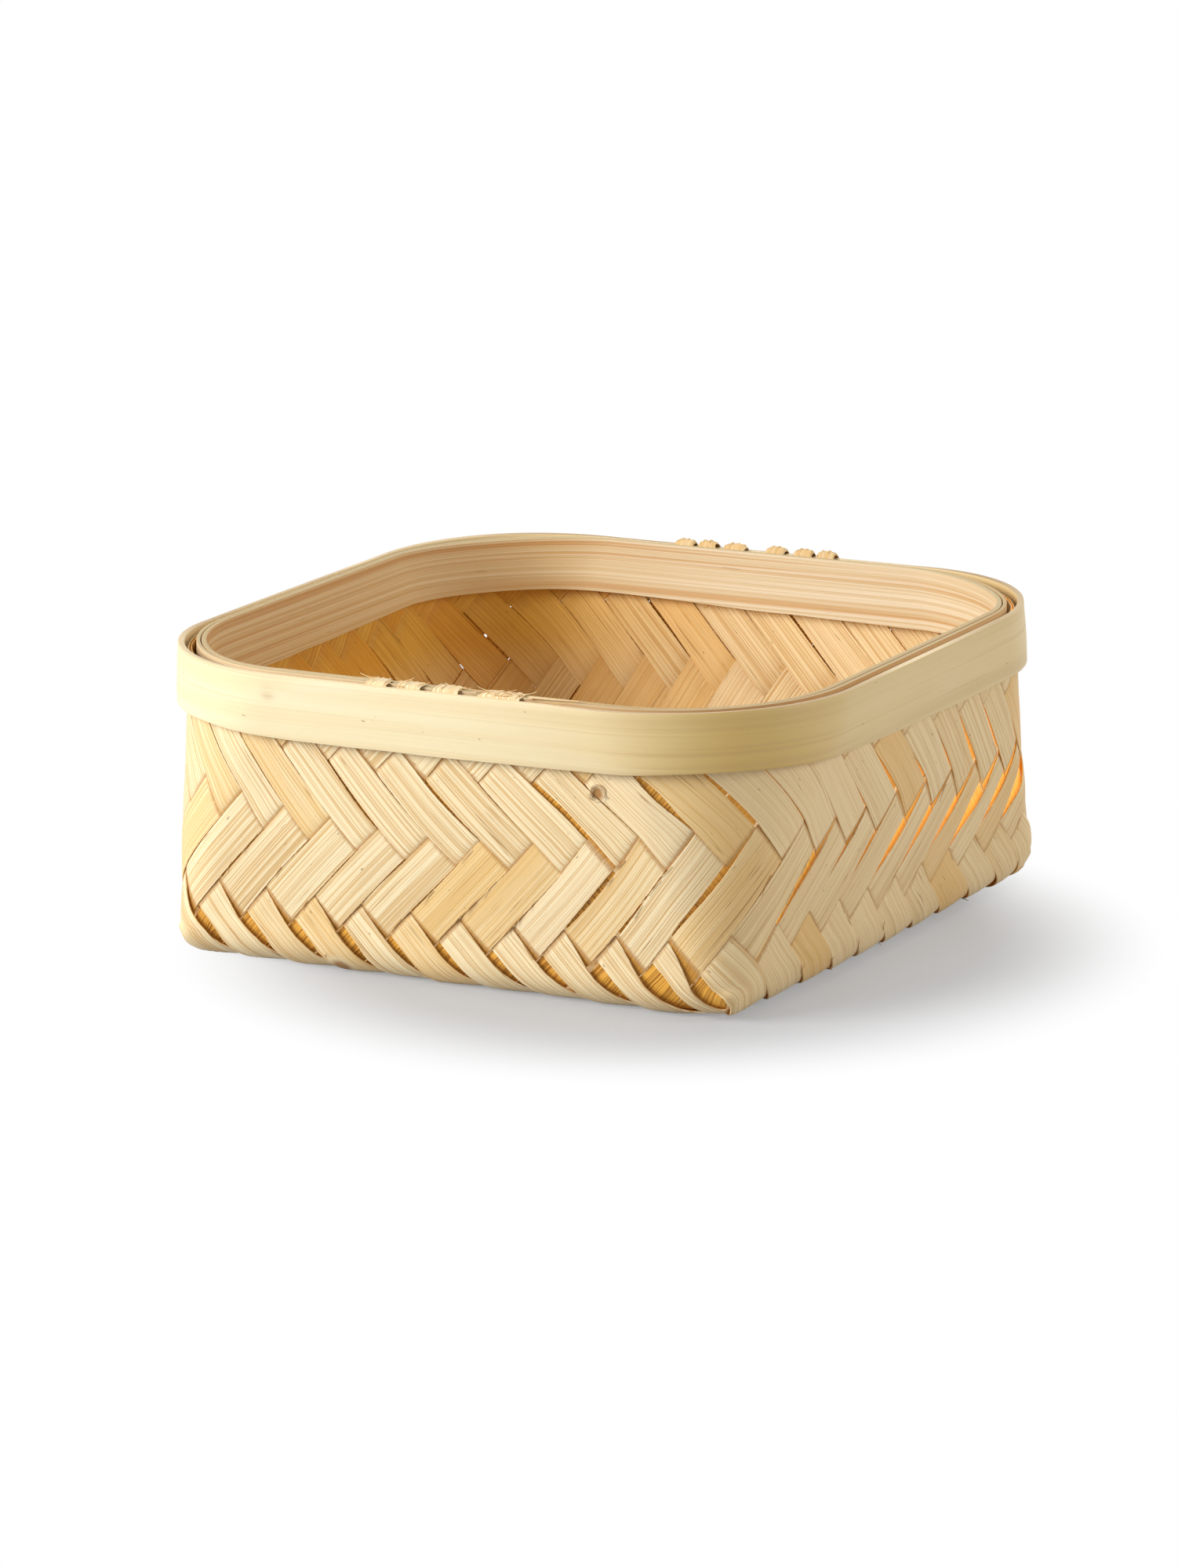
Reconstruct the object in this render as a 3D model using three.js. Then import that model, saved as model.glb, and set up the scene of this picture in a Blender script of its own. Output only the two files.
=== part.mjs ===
// Square-based bamboo basket, plaited from flat splints in a diagonal twill.
// Millimetres, +Z up, origin on the floor under the middle of the base.
import * as THREE from "three";

// Driving dimensions of the plaiting
const splintsPerSide = 11; // splints of one slant that fold up over each base edge
const splintWidth = 11.8;
const splintThickness = 0.5;
const weaveClearance = 0.3; // air between two crossing splints
const diveRatio = 1.3; // gap that a splint needs to dive, over its drop
const floatCrossings = 3; // crossings that a splint passes over before it dives
const wallLevels = 10; // rows of crossings from the base edge to the cut ends
const baseEdgeRadius = 7;
const lowCornerRadius = 11.5;
const rimCornerRadius = 55;
const middleRise = 2.5; // how far the rows of crossings climb at the middle of a wall
const cornerRise = 8; // and how far they climb at a corner
const riseLean = 1.3; // above 1 puts the most of the climb higher up the wall
const cornerGape = 3.6; // how wide the plaiting gapes at a corner of the base
const gapeSpread = 14; // distance over which the splints are pushed aside there

// Driving dimensions of the rim
const hoopHeight = 20;
const rimAboveEnds = 2.2; // how far the hoops stand above the cut ends
const outerHoopThickness = 2;
const innerHoopThickness = 1.6;
const backingThickness = 1.2;
const plyGap = 0.2;
const edgeRounding = 0.5;
const edgeRoundingHeight = 1.1;
const cornerOpening = 1; // how far the hoops spring away from the plaiting at a corner
const openingStart = 0.5; // share of a half wall at which they start to spring away
const lapLength = 60;
const lapTip = 0.35; // thickness left at the tip of a scarfed end
const lapGap = 0.2;

// Driving dimensions of the bindings
const bindingWidth = 6.2;
const bindingThickness = 0.3;
const bindingClearance = 0.15;
const bindingPinch = 0.7; // width where a binding is pulled through the plaiting
const bindingCrown = 1.6; // rise of a turn over the top of the rim
const bindingFlare = 4; // height over which a pinched turn widens again
const backTurns = [-2, -1, 0, 1, 2, 3]; // columns of crossings, from the wall's middle
const frontTurns = [-2, -1, 1, 3];

// Values worked out from the driving dimensions
const quarterTurn = Math.PI / 2;
const drop = splintThickness + weaveClearance;
const crossOffset = drop / 2;
const halfWeave = crossOffset + splintThickness / 2;
const splintGap = diveRatio * drop;
const pitch = splintWidth + splintGap;
const levelRise = pitch / Math.SQRT2;
const baseHalf = splintsPerSide * levelRise;
const halfFold = (baseEdgeRadius * quarterTurn) / 2;
const wallRun = wallLevels * levelRise;
const cornerSaving = 1 - Math.PI / 4; // length that rounding a corner saves, over its radius
const rimTop = wallRun + rimAboveEnds;
const rimLow = rimTop - hoopHeight;
const rimSlack = bindingThickness + 2 * bindingClearance;
const bindingReach = bindingClearance + bindingThickness / 2;
const twillRepeat = 2 * floatCrossings;
const wallLength = 2 * baseHalf; // one wall's share of the girth, laid flat
const girth = 4 * wallLength;
const upright = new THREE.Vector3(0, 0, 1);

// Numerical steps
const smallest = 1e-6;
const normalStep = 0.02;
const flatTolerance = 0.004;
const cornerSteps = 4;

// Outward and upward travel of a point that lies `beyond` a base edge when laid flat
function foldProfile(beyond) {
  const angle = (beyond + halfFold) / baseEdgeRadius;
  if (angle <= 0) {
    return { out: beyond, up: 0 };
  }
  if (angle < quarterTurn) {
    const out = baseEdgeRadius * Math.sin(angle) - halfFold;
    return { out, up: baseEdgeRadius * (1 - Math.cos(angle)) };
  }
  return { out: baseEdgeRadius - halfFold, up: baseEdgeRadius + beyond - halfFold };
}

// How much of a base corner's own fold a point at this distance along the edge feels
function cornerFold(along) {
  const beyond = Math.abs(along) - baseHalf;
  return (foldProfile(beyond).out - beyond) / foldProfile(0).out;
}

// Point of the base, seen from the edge on +Y, at `along` and `up` (negative) from that edge
function basePoint(along, up) {
  const across = foldProfile(Math.abs(along) - baseHalf);
  const outward = foldProfile(up);
  const x = Math.sign(along) * (baseHalf + across.out);
  return new THREE.Vector3(x, baseHalf + outward.out, across.up + outward.up);
}

// Point of the wall on +Y, or of the next walls past its ends. The corners get rounder
// towards the rim and the walls lean out with them, so that the girth stays the same.
function wallPoint(along, up) {
  const rise = foldProfile(up);
  const started = Math.min(1, up / halfFold);
  const grown = Math.max(0, (up - halfFold) / (wallRun - halfFold));
  const growth = (rimCornerRadius - lowCornerRadius) * grown;
  const radius = Math.max(smallest, lowCornerRadius * started + growth);
  const half = baseHalf + rise.out + cornerSaving * growth;
  const eighth = half - cornerSaving * radius;
  const straight = half - radius;

  const turns = Math.round(along / wallLength);
  const local = along - turns * wallLength;
  const share = (1 - started) * cornerFold(local) + (started * Math.abs(local)) / baseHalf;
  const distance = Math.abs(local) + (eighth - baseHalf) * share;
  const point = new THREE.Vector3(distance, half, rise.up);
  if (distance > straight) {
    const angle = (distance - straight) / radius;
    point.x = straight + radius * Math.sin(angle);
    point.y = straight + radius * Math.cos(angle);
  }
  point.x *= Math.sign(local);
  const lift = Math.max(0, 1 - up / levelRise);
  point.z += foldProfile(Math.abs(local) - baseHalf).up * lift * lift;
  return point.applyAxisAngle(upright, -turns * quarterTurn);
}

function surfacePoint(along, up) {
  return up > 0 ? wallPoint(along, up) : basePoint(along, up);
}

// Point at `depth` outside the middle surface of the plaiting
function offsetPoint(along, up, depth) {
  const right = surfacePoint(along + normalStep, up);
  const left = surfacePoint(along - normalStep, up);
  const above = surfacePoint(along, up + normalStep);
  const below = surfacePoint(along, up - normalStep);
  const normal = above.sub(below).cross(right.sub(left)).normalize();
  const point = surfacePoint(along, up).addScaledVector(normal, depth);
  point.z += halfWeave;
  return point;
}

// How far the plaiting climbs above its even rows, which is most at the corners
function rowRise(along, up) {
  const share = THREE.MathUtils.clamp(up / wallRun, 0, 1);
  const toCorner = (1 - Math.cos((Math.PI * along) / baseHalf)) / 2;
  const rise = THREE.MathUtils.lerp(middleRise, cornerRise, toCorner);
  return rise * Math.sin(Math.PI * share ** riseLean);
}

// Point of the plaiting, pushed away from the nearest corner of the base
function wovenPoint(along, up, depth) {
  const corner = wallLength * (Math.floor(along / wallLength) + 0.5);
  const across = along - corner;
  const climbed = up + rowRise(along, up);
  const distance = Math.hypot(across, climbed) + smallest;
  const gape = cornerGape * Math.exp(-((distance / gapeSpread) ** 2) / 2);
  const stretch = Math.hypot(distance, gape) / distance;
  return offsetPoint(corner + across * stretch, climbed * stretch, depth);
}

// A splint's own coordinates are u along it and v across it, measured on the flat
// base. Its far end climbs the +Y wall and its near end climbs the -X wall.
function splintPoint(u, v, depth) {
  const up = (Math.abs(u) + v) / Math.SQRT2 - baseHalf;
  if (u >= 0) {
    return wovenPoint((u - v) / Math.SQRT2, up, depth);
  }
  const turned = wovenPoint((u + v) / Math.SQRT2, up, depth);
  return turned.applyAxisAngle(upright, quarterTurn);
}

// The twill: rows of three crossings in turn show the splints that climb to the left
// and those that climb to the right, all round the walls and on under the base.
function liesOutside(climbsLeft, level) {
  const row = (((level + 1) % twillRepeat) + twillRepeat) % twillRepeat;
  return climbsLeft === row < floatCrossings;
}

function isFlat(u, v) {
  const reach = splintWidth / 2;
  const normals = [];
  for (const du of [-reach, reach]) {
    for (const dv of [-reach, reach]) {
      const outer = splintPoint(u + du, v + dv, 1);
      normals.push(outer.sub(splintPoint(u + du, v + dv, 0)));
    }
  }
  return normals.every((normal) => normal.distanceTo(normals[0]) < flatTolerance);
}

// What a splint does between two neighbouring crossings: it dives or follows the base
// edge in a bend, keeps to the curve of a corner or of the climbing rows, or runs straight.
function joinBetween(one, two) {
  const atFold = Math.min(Math.abs(one.level), Math.abs(two.level)) <= 1;
  if (one.depth !== two.depth || (atFold && !(one.flat && two.flat))) {
    return "bend";
  }
  const onWall = Math.max(one.level, two.level) > floatCrossings;
  return one.flat && two.flat && !onWall ? "straight" : "curve";
}

// Rows of points across a splint, at the edges of the crossings where it bends or dives
function splintRows(v) {
  const reach = splintWidth / 2;
  const left = v + reach;
  const right = v - reach;
  const lastCrossing = splintsPerSide + wallLevels - v / pitch;
  const cells = [];
  for (let order = -lastCrossing; order <= lastCrossing; order += 1) {
    const level = Math.round(v / pitch + Math.abs(order) - splintsPerSide);
    const u = order * pitch;
    const side = liesOutside(order > 0, level) ? 1 : -1;
    cells.push({ u, level, depth: side * crossOffset, flat: isFlat(u, v) });
  }
  const row = (u, depth, places) => places.map((place) => ({ u, v: place, depth }));
  const rows = [];
  cells.forEach((cell, index) => {
    const after = cells[index + 1];
    const places = cell.level === 0 ? [left, v, right] : [left, right];
    if (index === 0) {
      rows.push([{ u: cell.u - reach, v: right, depth: cell.depth }]);
      rows.push(row(cell.u, cell.depth, [v]));
    } else if (joinBetween(cells[index - 1], cell) === "bend") {
      rows.push(row(cell.u - reach, cell.depth, places));
    }
    if (cell.level === 0) {
      rows.push(row(cell.u, cell.depth, places));
    }
    if (!after) {
      rows.push(row(cell.u, cell.depth, [v]));
      rows.push([{ u: cell.u + reach, v: right, depth: cell.depth }]);
      return;
    }
    const join = joinBetween(cell, after);
    if (join === "bend") {
      rows.push(row(cell.u + reach, cell.depth, places));
    } else if (join === "curve") {
      rows.push(row(cell.u + pitch / 2, cell.depth, places));
    }
  });
  return rows;
}

// Adds a triangle that faces out of the basket
function addTriangle(triangles, points, a, b, c) {
  const [one, two, three] = [points[a], points[b], points[c]];
  const turn = (two.u - one.u) * (three.v - one.v) - (two.v - one.v) * (three.u - one.u);
  triangles.push(turn > 0 ? [a, c, b] : [a, b, c]);
}

// Joins two rows of points, and cuts each quad along its longer diagonal, which is the
// one that lies along a fold. Crossing splints then share their facets.
function joinRows(triangles, points, places, first, second) {
  let i = 0;
  let j = 0;
  while (i < first.length - 1 || j < second.length - 1) {
    const canFirst = i < first.length - 1;
    const canSecond = j < second.length - 1;
    let stepFirst = canFirst;
    if (canFirst && canSecond && first.length === second.length) {
      const forward = places[first[i + 1]].distanceTo(places[second[j]]);
      const backward = places[first[i]].distanceTo(places[second[j + 1]]);
      const useForward = forward > backward;
      const [keep, cut] = useForward ? [first[i + 1], second[j]] : [second[j + 1], first[i]];
      addTriangle(triangles, points, first[i], second[j], keep);
      addTriangle(triangles, points, first[i + 1], second[j + 1], cut);
      i += 1;
      j += 1;
      continue;
    }
    if (canFirst && canSecond) {
      stepFirst = first.length > second.length ? i <= j : i < j;
    }
    if (stepFirst) {
      addTriangle(triangles, points, first[i], first[i + 1], second[j]);
      i += 1;
    } else {
      addTriangle(triangles, points, second[j], second[j + 1], first[i]);
      j += 1;
    }
  }
}

function closedGeometry(positions, triangles) {
  const geometry = new THREE.BufferGeometry();
  const numbers = positions.flatMap((point) => point.toArray());
  geometry.setAttribute("position", new THREE.Float32BufferAttribute(numbers, 3));
  geometry.setIndex(triangles.flat());
  geometry.computeVertexNormals();
  return geometry;
}

// Gives a sheet of triangles its thickness, with a side along each open edge
function thickSheet(outer, inner, triangles) {
  const count = outer.length;
  const faces = [...triangles];
  const open = new Map();
  for (const [a, b, c] of triangles) {
    faces.push([a + count, c + count, b + count]);
    for (const [from, to] of [[a, b], [b, c], [c, a]]) {
      if (!open.delete(`${to} ${from}`)) {
        open.set(`${from} ${to}`, [from, to]);
      }
    }
  }
  for (const [from, to] of open.values()) {
    faces.push([from, to + count, to]);
    faces.push([from, from + count, to + count]);
  }
  return closedGeometry([...outer, ...inner], faces);
}

function splintGeometry(order) {
  const v = (order - 0.5) * pitch;
  const rows = splintRows(v);
  const points = rows.flat();
  const half = splintThickness / 2;
  const middle = points.map((point) => splintPoint(point.u, point.v, 0));
  const outer = points.map((point) => splintPoint(point.u, point.v, point.depth + half));
  const inner = points.map((point) => splintPoint(point.u, point.v, point.depth - half));

  let next = 0;
  const indexRows = rows.map((row) => row.map(() => next++));
  const triangles = [];
  const [nearTip, nearMiddle, nearRow] = indexRows;
  addTriangle(triangles, points, nearTip[0], nearRow.at(-1), nearMiddle[0]);
  addTriangle(triangles, points, nearMiddle[0], nearRow.at(-1), nearRow[0]);
  for (let index = 2; index < indexRows.length - 3; index += 1) {
    joinRows(triangles, points, middle, indexRows[index], indexRows[index + 1]);
  }
  const [farRow, farMiddle, farTip] = indexRows.slice(-3);
  addTriangle(triangles, points, farRow[0], farRow.at(-1), farMiddle[0]);
  addTriangle(triangles, points, farMiddle[0], farRow.at(-1), farTip[0]);
  return thickSheet(outer, inner, triangles);
}

// Joins equal closed sections one after another, with a flat cap at both ends. Each
// quad is cut along its longer diagonal, so that neighbouring laths share their facets.
function loftSections(sections) {
  const size = sections[0].length;
  const points = sections.flat();
  const faces = [];
  for (let index = 0; index < sections.length - 1; index += 1) {
    for (let corner = 0; corner < size; corner += 1) {
      const a = index * size + corner;
      const b = index * size + ((corner + 1) % size);
      const forward = points[b].distanceTo(points[a + size]);
      if (forward > points[a].distanceTo(points[b + size])) {
        faces.push([a, b, a + size], [b, b + size, a + size]);
      } else {
        faces.push([a, b, b + size], [a, b + size, a + size]);
      }
    }
  }
  const last = (sections.length - 1) * size;
  for (let corner = 1; corner < size - 1; corner += 1) {
    faces.push([0, corner + 1, corner], [last, last + corner, last + corner + 1]);
  }
  return closedGeometry(points, faces);
}

// Places along one hoop, closer together round the corners and at the scarfed lap
function hoopPlaces(start) {
  const growth = cornerSaving * (rimCornerRadius - lowCornerRadius);
  const half = baseHalf + foldProfile(wallRun).out + growth;
  const straightShare = (half - rimCornerRadius) / (half - cornerSaving * rimCornerRadius);
  const cornerRun = baseHalf * (1 - straightShare);
  const places = [start, start + lapLength];
  for (let corner = 0; corner < 4; corner += 1) {
    const centre = baseHalf + corner * wallLength;
    for (let step = -cornerSteps; step <= cornerSteps; step += 1) {
      places.push(centre + (cornerRun * step) / cornerSteps);
    }
  }
  places.push(start + girth, start + girth + lapLength);
  return places;
}

// Where the middle of a hoop's lap lies: under the middle of the turns that bind it
function lapStart(columns, sign) {
  const middle = columns.reduce((sum, column) => sum + column, 0) / columns.length;
  return sign * middle * levelRise - lapLength / 2;
}

// A lath bent round once, with its two ends thinned and lapped over each other.
// `near` and `thickness` are measured from the plaiting, outward when `sign` is 1.
function hoopGeometry(near, thickness, sign, columns) {
  const start = lapStart(columns, sign);
  const end = start + girth + lapLength;
  const body = thickness - lapTip;
  const sections = hoopPlaces(start).map((along) => {
    const local = along - wallLength * Math.round(along / wallLength);
    const toCorner = THREE.MathUtils.smoothstep(Math.abs(local) / baseHalf, openingStart, 1);
    const foot = near + cornerOpening * toCorner;
    const startShare = Math.min(1, (along - start) / lapLength);
    const endShare = Math.min(1, (end - along) / lapLength);
    const inside = foot + (1 - endShare) * (body + lapGap);
    const outside = foot + lapTip + body * startShare + (1 - endShare) * lapGap;
    const rounding = Math.min(edgeRounding, (outside - inside) / 2);
    const profile = [
      [rimLow, inside],
      [rimTop, inside],
      [rimTop, outside - rounding],
      [rimTop - edgeRoundingHeight, outside],
      [rimLow + edgeRoundingHeight, outside],
      [rimLow, outside - rounding],
    ];
    const section = profile.map(([up, depth]) => offsetPoint(along, up, sign * depth));
    return sign > 0 ? section.reverse() : section;
  });
  return loftSections(sections);
}

// Height of the gap in the plaiting by the foot of the hoops, in column `column`
function holeHeight(column) {
  const level = Math.floor((rimLow - bindingReach) / levelRise);
  const crossingHere = (column + level + splintsPerSide - 1) % 2 === 0;
  const up = (crossingHere ? level + 1 : level) * levelRise;
  return up + rowRise(column * levelRise, up);
}

// Route of a binding that winds round one hoop and the plaiting: up between the
// plaiting and the other hoop, over the top, down the hoop's face and in through a gap
function bindingRoute(columns, hoopFace) {
  const face = hoopFace + bindingReach;
  const flush = halfWeave + bindingReach;
  const route = [];
  columns.forEach((column, index) => {
    const along = column * levelRise;
    const hole = holeHeight(column);
    const foot = Math.min(hole, rimLow - bindingReach);
    const add = (up, depth, width) => route.push({ along, up, depth, width });
    if (index > 0) {
      add(foot, face, bindingWidth);
    }
    if (hole > foot) {
      add(foot, flush, bindingWidth);
    }
    if (hole > foot + bindingFlare) {
      add(hole - bindingFlare, flush, bindingWidth);
    }
    add(hole, flush, bindingPinch);
    add(hole, -flush, bindingPinch);
    add(hole + bindingFlare, -flush, bindingWidth);
    add(rimTop + bindingReach, -flush, bindingWidth);
    add(rimTop + bindingReach + bindingCrown, (face - flush) / 2, bindingWidth);
    add(rimTop + bindingReach, face, bindingWidth);
    if (index === columns.length - 1) {
      add(rimLow + bindingReach, face, bindingWidth);
    }
  });
  return route;
}

function unitStep(from, to) {
  return new THREE.Vector2(to.up - from.up, to.depth - from.depth).normalize();
}

// A flat strip along a route, mitred at its bends
function bindingGeometry(columns, hoopFace, sign) {
  const route = bindingRoute(columns, hoopFace);
  const sections = route.map((stop, index) => {
    const before = route[Math.max(0, index - 1)];
    const after = route[Math.min(route.length - 1, index + 1)];
    const into = index > 0 ? unitStep(before, stop) : unitStep(stop, after);
    const out = index < route.length - 1 ? unitStep(stop, after) : into;
    const normal = new THREE.Vector2(-into.y - out.y, into.x + out.x).normalize();
    const mitre = bindingThickness / 2 / normal.dot(new THREE.Vector2(-out.y, out.x));
    const section = [];
    for (const [side, face] of [[-1, -1], [1, -1], [1, 1], [-1, 1]]) {
      const along = stop.along + (side * stop.width) / 2;
      const up = stop.up + face * mitre * normal.x;
      const depth = stop.depth + face * mitre * normal.y;
      section.push(offsetPoint(sign * along, up, sign * depth));
    }
    return section;
  });
  return loftSections(sections);
}

function finish(colour, roughness) {
  return new THREE.MeshStandardMaterial({ color: colour, roughness, metalness: 0 });
}

function namedMesh(name, geometry, colour, roughness) {
  const mesh = new THREE.Mesh(geometry, finish(colour, roughness));
  mesh.name = name;
  return mesh;
}

// The four turns of one splint shape: two lie in layer a, two across them in layer b
function addSplints(basket) {
  const colours = ["#e6c98f", "#dfbd7d", "#ecd6a4", "#d9b26c", "#e3c488"];
  for (let order = 1; order <= splintsPerSide; order += 1) {
    const geometry = splintGeometry(order);
    for (let turn = 0; turn < 4; turn += 1) {
      const layer = turn % 2 === 0 ? "a" : "b";
      const place = turn < 2 ? splintsPerSide + order : splintsPerSide + 1 - order;
      const number = String(place).padStart(2, "0");
      const colour = colours[(3 * order + 2 * turn) % colours.length];
      const splint = namedMesh(`splint_${layer}_${number}`, geometry, colour, 0.55);
      splint.rotation.z = turn * quarterTurn;
      basket.add(splint);
    }
  }
}

// The front of the rim is made like its back and turned round with its own hoops
function addRim(basket) {
  const near = halfWeave + rimSlack;
  const innerNear = near + backingThickness + lapGap + plyGap;
  const outerFace = near + outerHoopThickness + lapGap;
  const innerFace = innerNear + innerHoopThickness + lapGap;

  const outer = hoopGeometry(near, outerHoopThickness, 1, backTurns);
  const backBinding = bindingGeometry(backTurns, outerFace, 1);
  basket.add(namedMesh("outer_hoop", outer, "#e8d59a", 0.4));
  basket.add(namedMesh("back_binding", backBinding, "#cfae72", 0.6));

  const backing = hoopGeometry(near, backingThickness, -1, frontTurns);
  const innerHoop = hoopGeometry(innerNear, innerHoopThickness, -1, frontTurns);
  const frontBinding = bindingGeometry(frontTurns, innerFace, -1);
  const front = new THREE.Group();
  front.rotation.z = Math.PI;
  front.add(namedMesh("backing_hoop", backing, "#d8b98a", 0.6));
  front.add(namedMesh("inner_hoop", innerHoop, "#e2c69a", 0.55));
  front.add(namedMesh("front_binding", frontBinding, "#dcc9a0", 0.6));
  basket.add(front);
}

const basket = new THREE.Group();
addSplints(basket);
addRim(basket);

export default basket;
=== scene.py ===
# Square bamboo basket, plaited from flat splints in a diagonal twill, with a rim of bent laths.
# Blender works in metres. The plaiting is laid out flat in millimetres and then folded up.
import math

import bpy
import numpy as np
from mathutils import Matrix, Vector


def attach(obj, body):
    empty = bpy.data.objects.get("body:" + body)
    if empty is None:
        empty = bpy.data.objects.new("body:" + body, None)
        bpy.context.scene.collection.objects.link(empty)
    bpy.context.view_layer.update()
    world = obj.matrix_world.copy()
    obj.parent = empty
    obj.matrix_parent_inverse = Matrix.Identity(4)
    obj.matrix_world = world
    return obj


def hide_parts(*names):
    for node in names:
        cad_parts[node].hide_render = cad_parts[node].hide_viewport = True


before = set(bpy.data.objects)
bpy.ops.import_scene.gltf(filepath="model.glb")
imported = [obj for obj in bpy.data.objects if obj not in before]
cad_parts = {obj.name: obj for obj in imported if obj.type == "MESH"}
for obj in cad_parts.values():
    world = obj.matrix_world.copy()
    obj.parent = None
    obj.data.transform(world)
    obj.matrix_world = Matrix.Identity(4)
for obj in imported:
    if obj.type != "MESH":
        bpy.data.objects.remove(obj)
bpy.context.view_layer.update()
MM = 0.001

# Driving dimensions of the plaiting
SPLINTS_PER_SIDE = 11
SPLINT_WIDTH = 11.8
SPLINT_THICKNESS = 0.5
WEAVE_CLEARANCE = 0.3
DIVE_RATIO = 1.3
FLOAT_CROSSINGS = 3
WALL_LEVELS = 10
BASE_EDGE_RADIUS = 11.0
EVEN_EDGE_RADIUS = 7.0
LOW_CORNER_RADIUS = 11.5
RIM_CORNER_RADIUS = 55.0

# Driving dimensions of the rim
HOOP_HEIGHT = 20.0
RIM_ABOVE_ENDS = 2.2
OUTER_HOOP_THICKNESS = 2.0
INNER_HOOP_THICKNESS = 1.6
BACKING_THICKNESS = 1.2
PLY_GAP = 0.2
CORNER_OPENING = 1.0
OPENING_START = 0.5
LAP_LENGTH = 60.0
LAP_TIP = 0.35
LAP_GAP = 0.2

# Driving dimensions of the bindings
BINDING_THICKNESS = 0.3
BINDING_CLEARANCE = 0.15
BINDING_PINCH = 0.7
BINDING_CROWN = 1.2
BINDING_FLARE = 4.0
BINDING_OVERLAP = 0.5
BINDING_CUT_SHARE = 0.2
BINDING_STEP = 0.6
BINDING_COLUMNS = 16
BINDING_WIDTH_WAVER = (0.1, 30.0)
BINDING_PATH_WAVER = (0.35, 9.0)
BINDING_DOME = (0.1, 0.9)
BINDING_DOME_WAVER = (0.7, 23.0)
THREAD_RISE = 0.3
THREAD_WAVER = (0.25, 4.0)
THREAD_WIDTH = 1.1
BACK_TURNS = (-2, -1, 0, 1, 2, 3)
BACK_SHIFTS = (-11.5, -11.8, -10.9, -5.0, -3.5, -4.4)
BACK_WIDTHS = (7.0, 6.0, 7.2, 6.8, 7.0, 6.2)
FRONT_TURNS = (-2, -1, 1, 3)
FRONT_SHIFTS = (-0.8, 1.7, -3.7, -3.4)
FRONT_WIDTHS = (7.4, 7.8, 8.2, 13.0)

# Tone of each binding, how dark it is, and how far it stands up on the rim
BACK_LOOK = (0.8, 0.5, 1.0)
FRONT_LOOK = (0.3, 0.2, 0.3)

# How far the foot of each hoop rises above its even height. These go round the girth
# from the back wall's middle, in quarters of a wall.
PLACES_PER_WALL = 4
OUTER_FOOT_RISE = (0, 0, 0, -1.2, -0.8, 0.2, 1.9, 0.5, 0, 0, 1.7, 0.4, 0, 0, 0, 0)
INNER_FOOT_RISE = (1.1, 0.4, 0, 0, 0, 0, 0, 0, 0, 0, 0.5, 0.8, 1.2, 2.2, 2.6, 2.3)

# How far the outer hoop darkens to olive, partly its own colour and partly painted shade on the near
# corner and right wall, and the inner ones to amber, in the same order
OUTER_OLIVE_AND_SHADE = (0.3, 0.3, 0.5, 0.65, 0.65, 0.7, 1.0, 0.3, 0, 0, 0.1, 0.2, 0.2, 0.2, 0.2, 0.3)
INNER_TONES = (0, 0, 0, 0, 0, 0.2, 0.3, 0.3, 0.3, 0.3, 0.4, 0.5, 0.5, 0.4, 0.2, 0.1)

# Values worked out from the driving dimensions
QUARTER_TURN = math.pi / 2
DROP = SPLINT_THICKNESS + WEAVE_CLEARANCE
CROSS_OFFSET = DROP / 2
HALF_WEAVE = CROSS_OFFSET + SPLINT_THICKNESS / 2
PITCH = SPLINT_WIDTH + DIVE_RATIO * DROP
LEVEL_RISE = PITCH / math.sqrt(2)
BASE_HALF = SPLINTS_PER_SIDE * LEVEL_RISE
FOLD_SHIFT = (1 - math.pi / 4) * (BASE_EDGE_RADIUS - EVEN_EDGE_RADIUS)
HALF_FOLD = BASE_EDGE_RADIUS * QUARTER_TURN / 2 + FOLD_SHIFT
FOLD_GAIN = 2 * FOLD_SHIFT
CORNER_START = EVEN_EDGE_RADIUS * QUARTER_TURN / 2
WALL_RUN = WALL_LEVELS * LEVEL_RISE
CORNER_SAVING = 1 - math.pi / 4
RIM_TOP = WALL_RUN + RIM_ABOVE_ENDS
RIM_LOW = RIM_TOP - HOOP_HEIGHT
RIM_SLACK = BINDING_THICKNESS + 2 * BINDING_CLEARANCE
BINDING_REACH = BINDING_CLEARANCE + BINDING_THICKNESS / 2
WALL_LENGTH = 2 * BASE_HALF
GIRTH = 4 * WALL_LENGTH
HOOP_NEAR = HALF_WEAVE + RIM_SLACK

# How the photographed basket departs from the even pattern, in mm. A ramp or a fade is a
# start and the run beyond it, over which the departure comes or goes. The walls count
# clockwise from above, from the back one, and corner n lies between wall n and the next.
# Rises and drifts go round the girth as the feet of the hoops do.
BACK_WALL, RIGHT_WALL, FRONT_WALL, LEFT_WALL = range(4)
CORNER_SIDES = ((1, 1), (1, -1), (-1, -1), (-1, 1))
LOW_LEVEL = 1
HIGH_LEVEL = 5
LOW_RISE = (1.3, 1.3, 1.3, 2, 0.8, 3.8, 2.3, 0.9, 1.3, 2.5, 2.3, 2.3, 1.3, 1.3, 1.3, 1.3)
HIGH_RISE = (11.5, 9, 4, 1.5, 4.2, 6, 12.5, 5, 1, 5, 12, 4, 2, 3, 5, 9)
LOW_DRIFT = (0, -1, -6, -6.5, -3, -1, 0, 3.5, 3.5, 1.5, 1, 0, 0, 0, 0, 0)
HIGH_DRIFT = (-8, -6.5, -3, -11.3, -10.6, -2.5, 2.5, 3, 4, 1, -5, -3, 0, 0, -1, -5)
HOLE_RADIUS = (3.6, 2.0, 2.6, 4.0)
HOLE_SPREAD = 16.0
BASE_PULL = ((3, 1), (-5, -0.5), (1.5, 0), (2, -2))
RIM_PULL = ((-1.3, -1.3), (0, 0), (1.3, 1.3), (0, 0))
PULL_PLACE = 105.0
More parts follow.
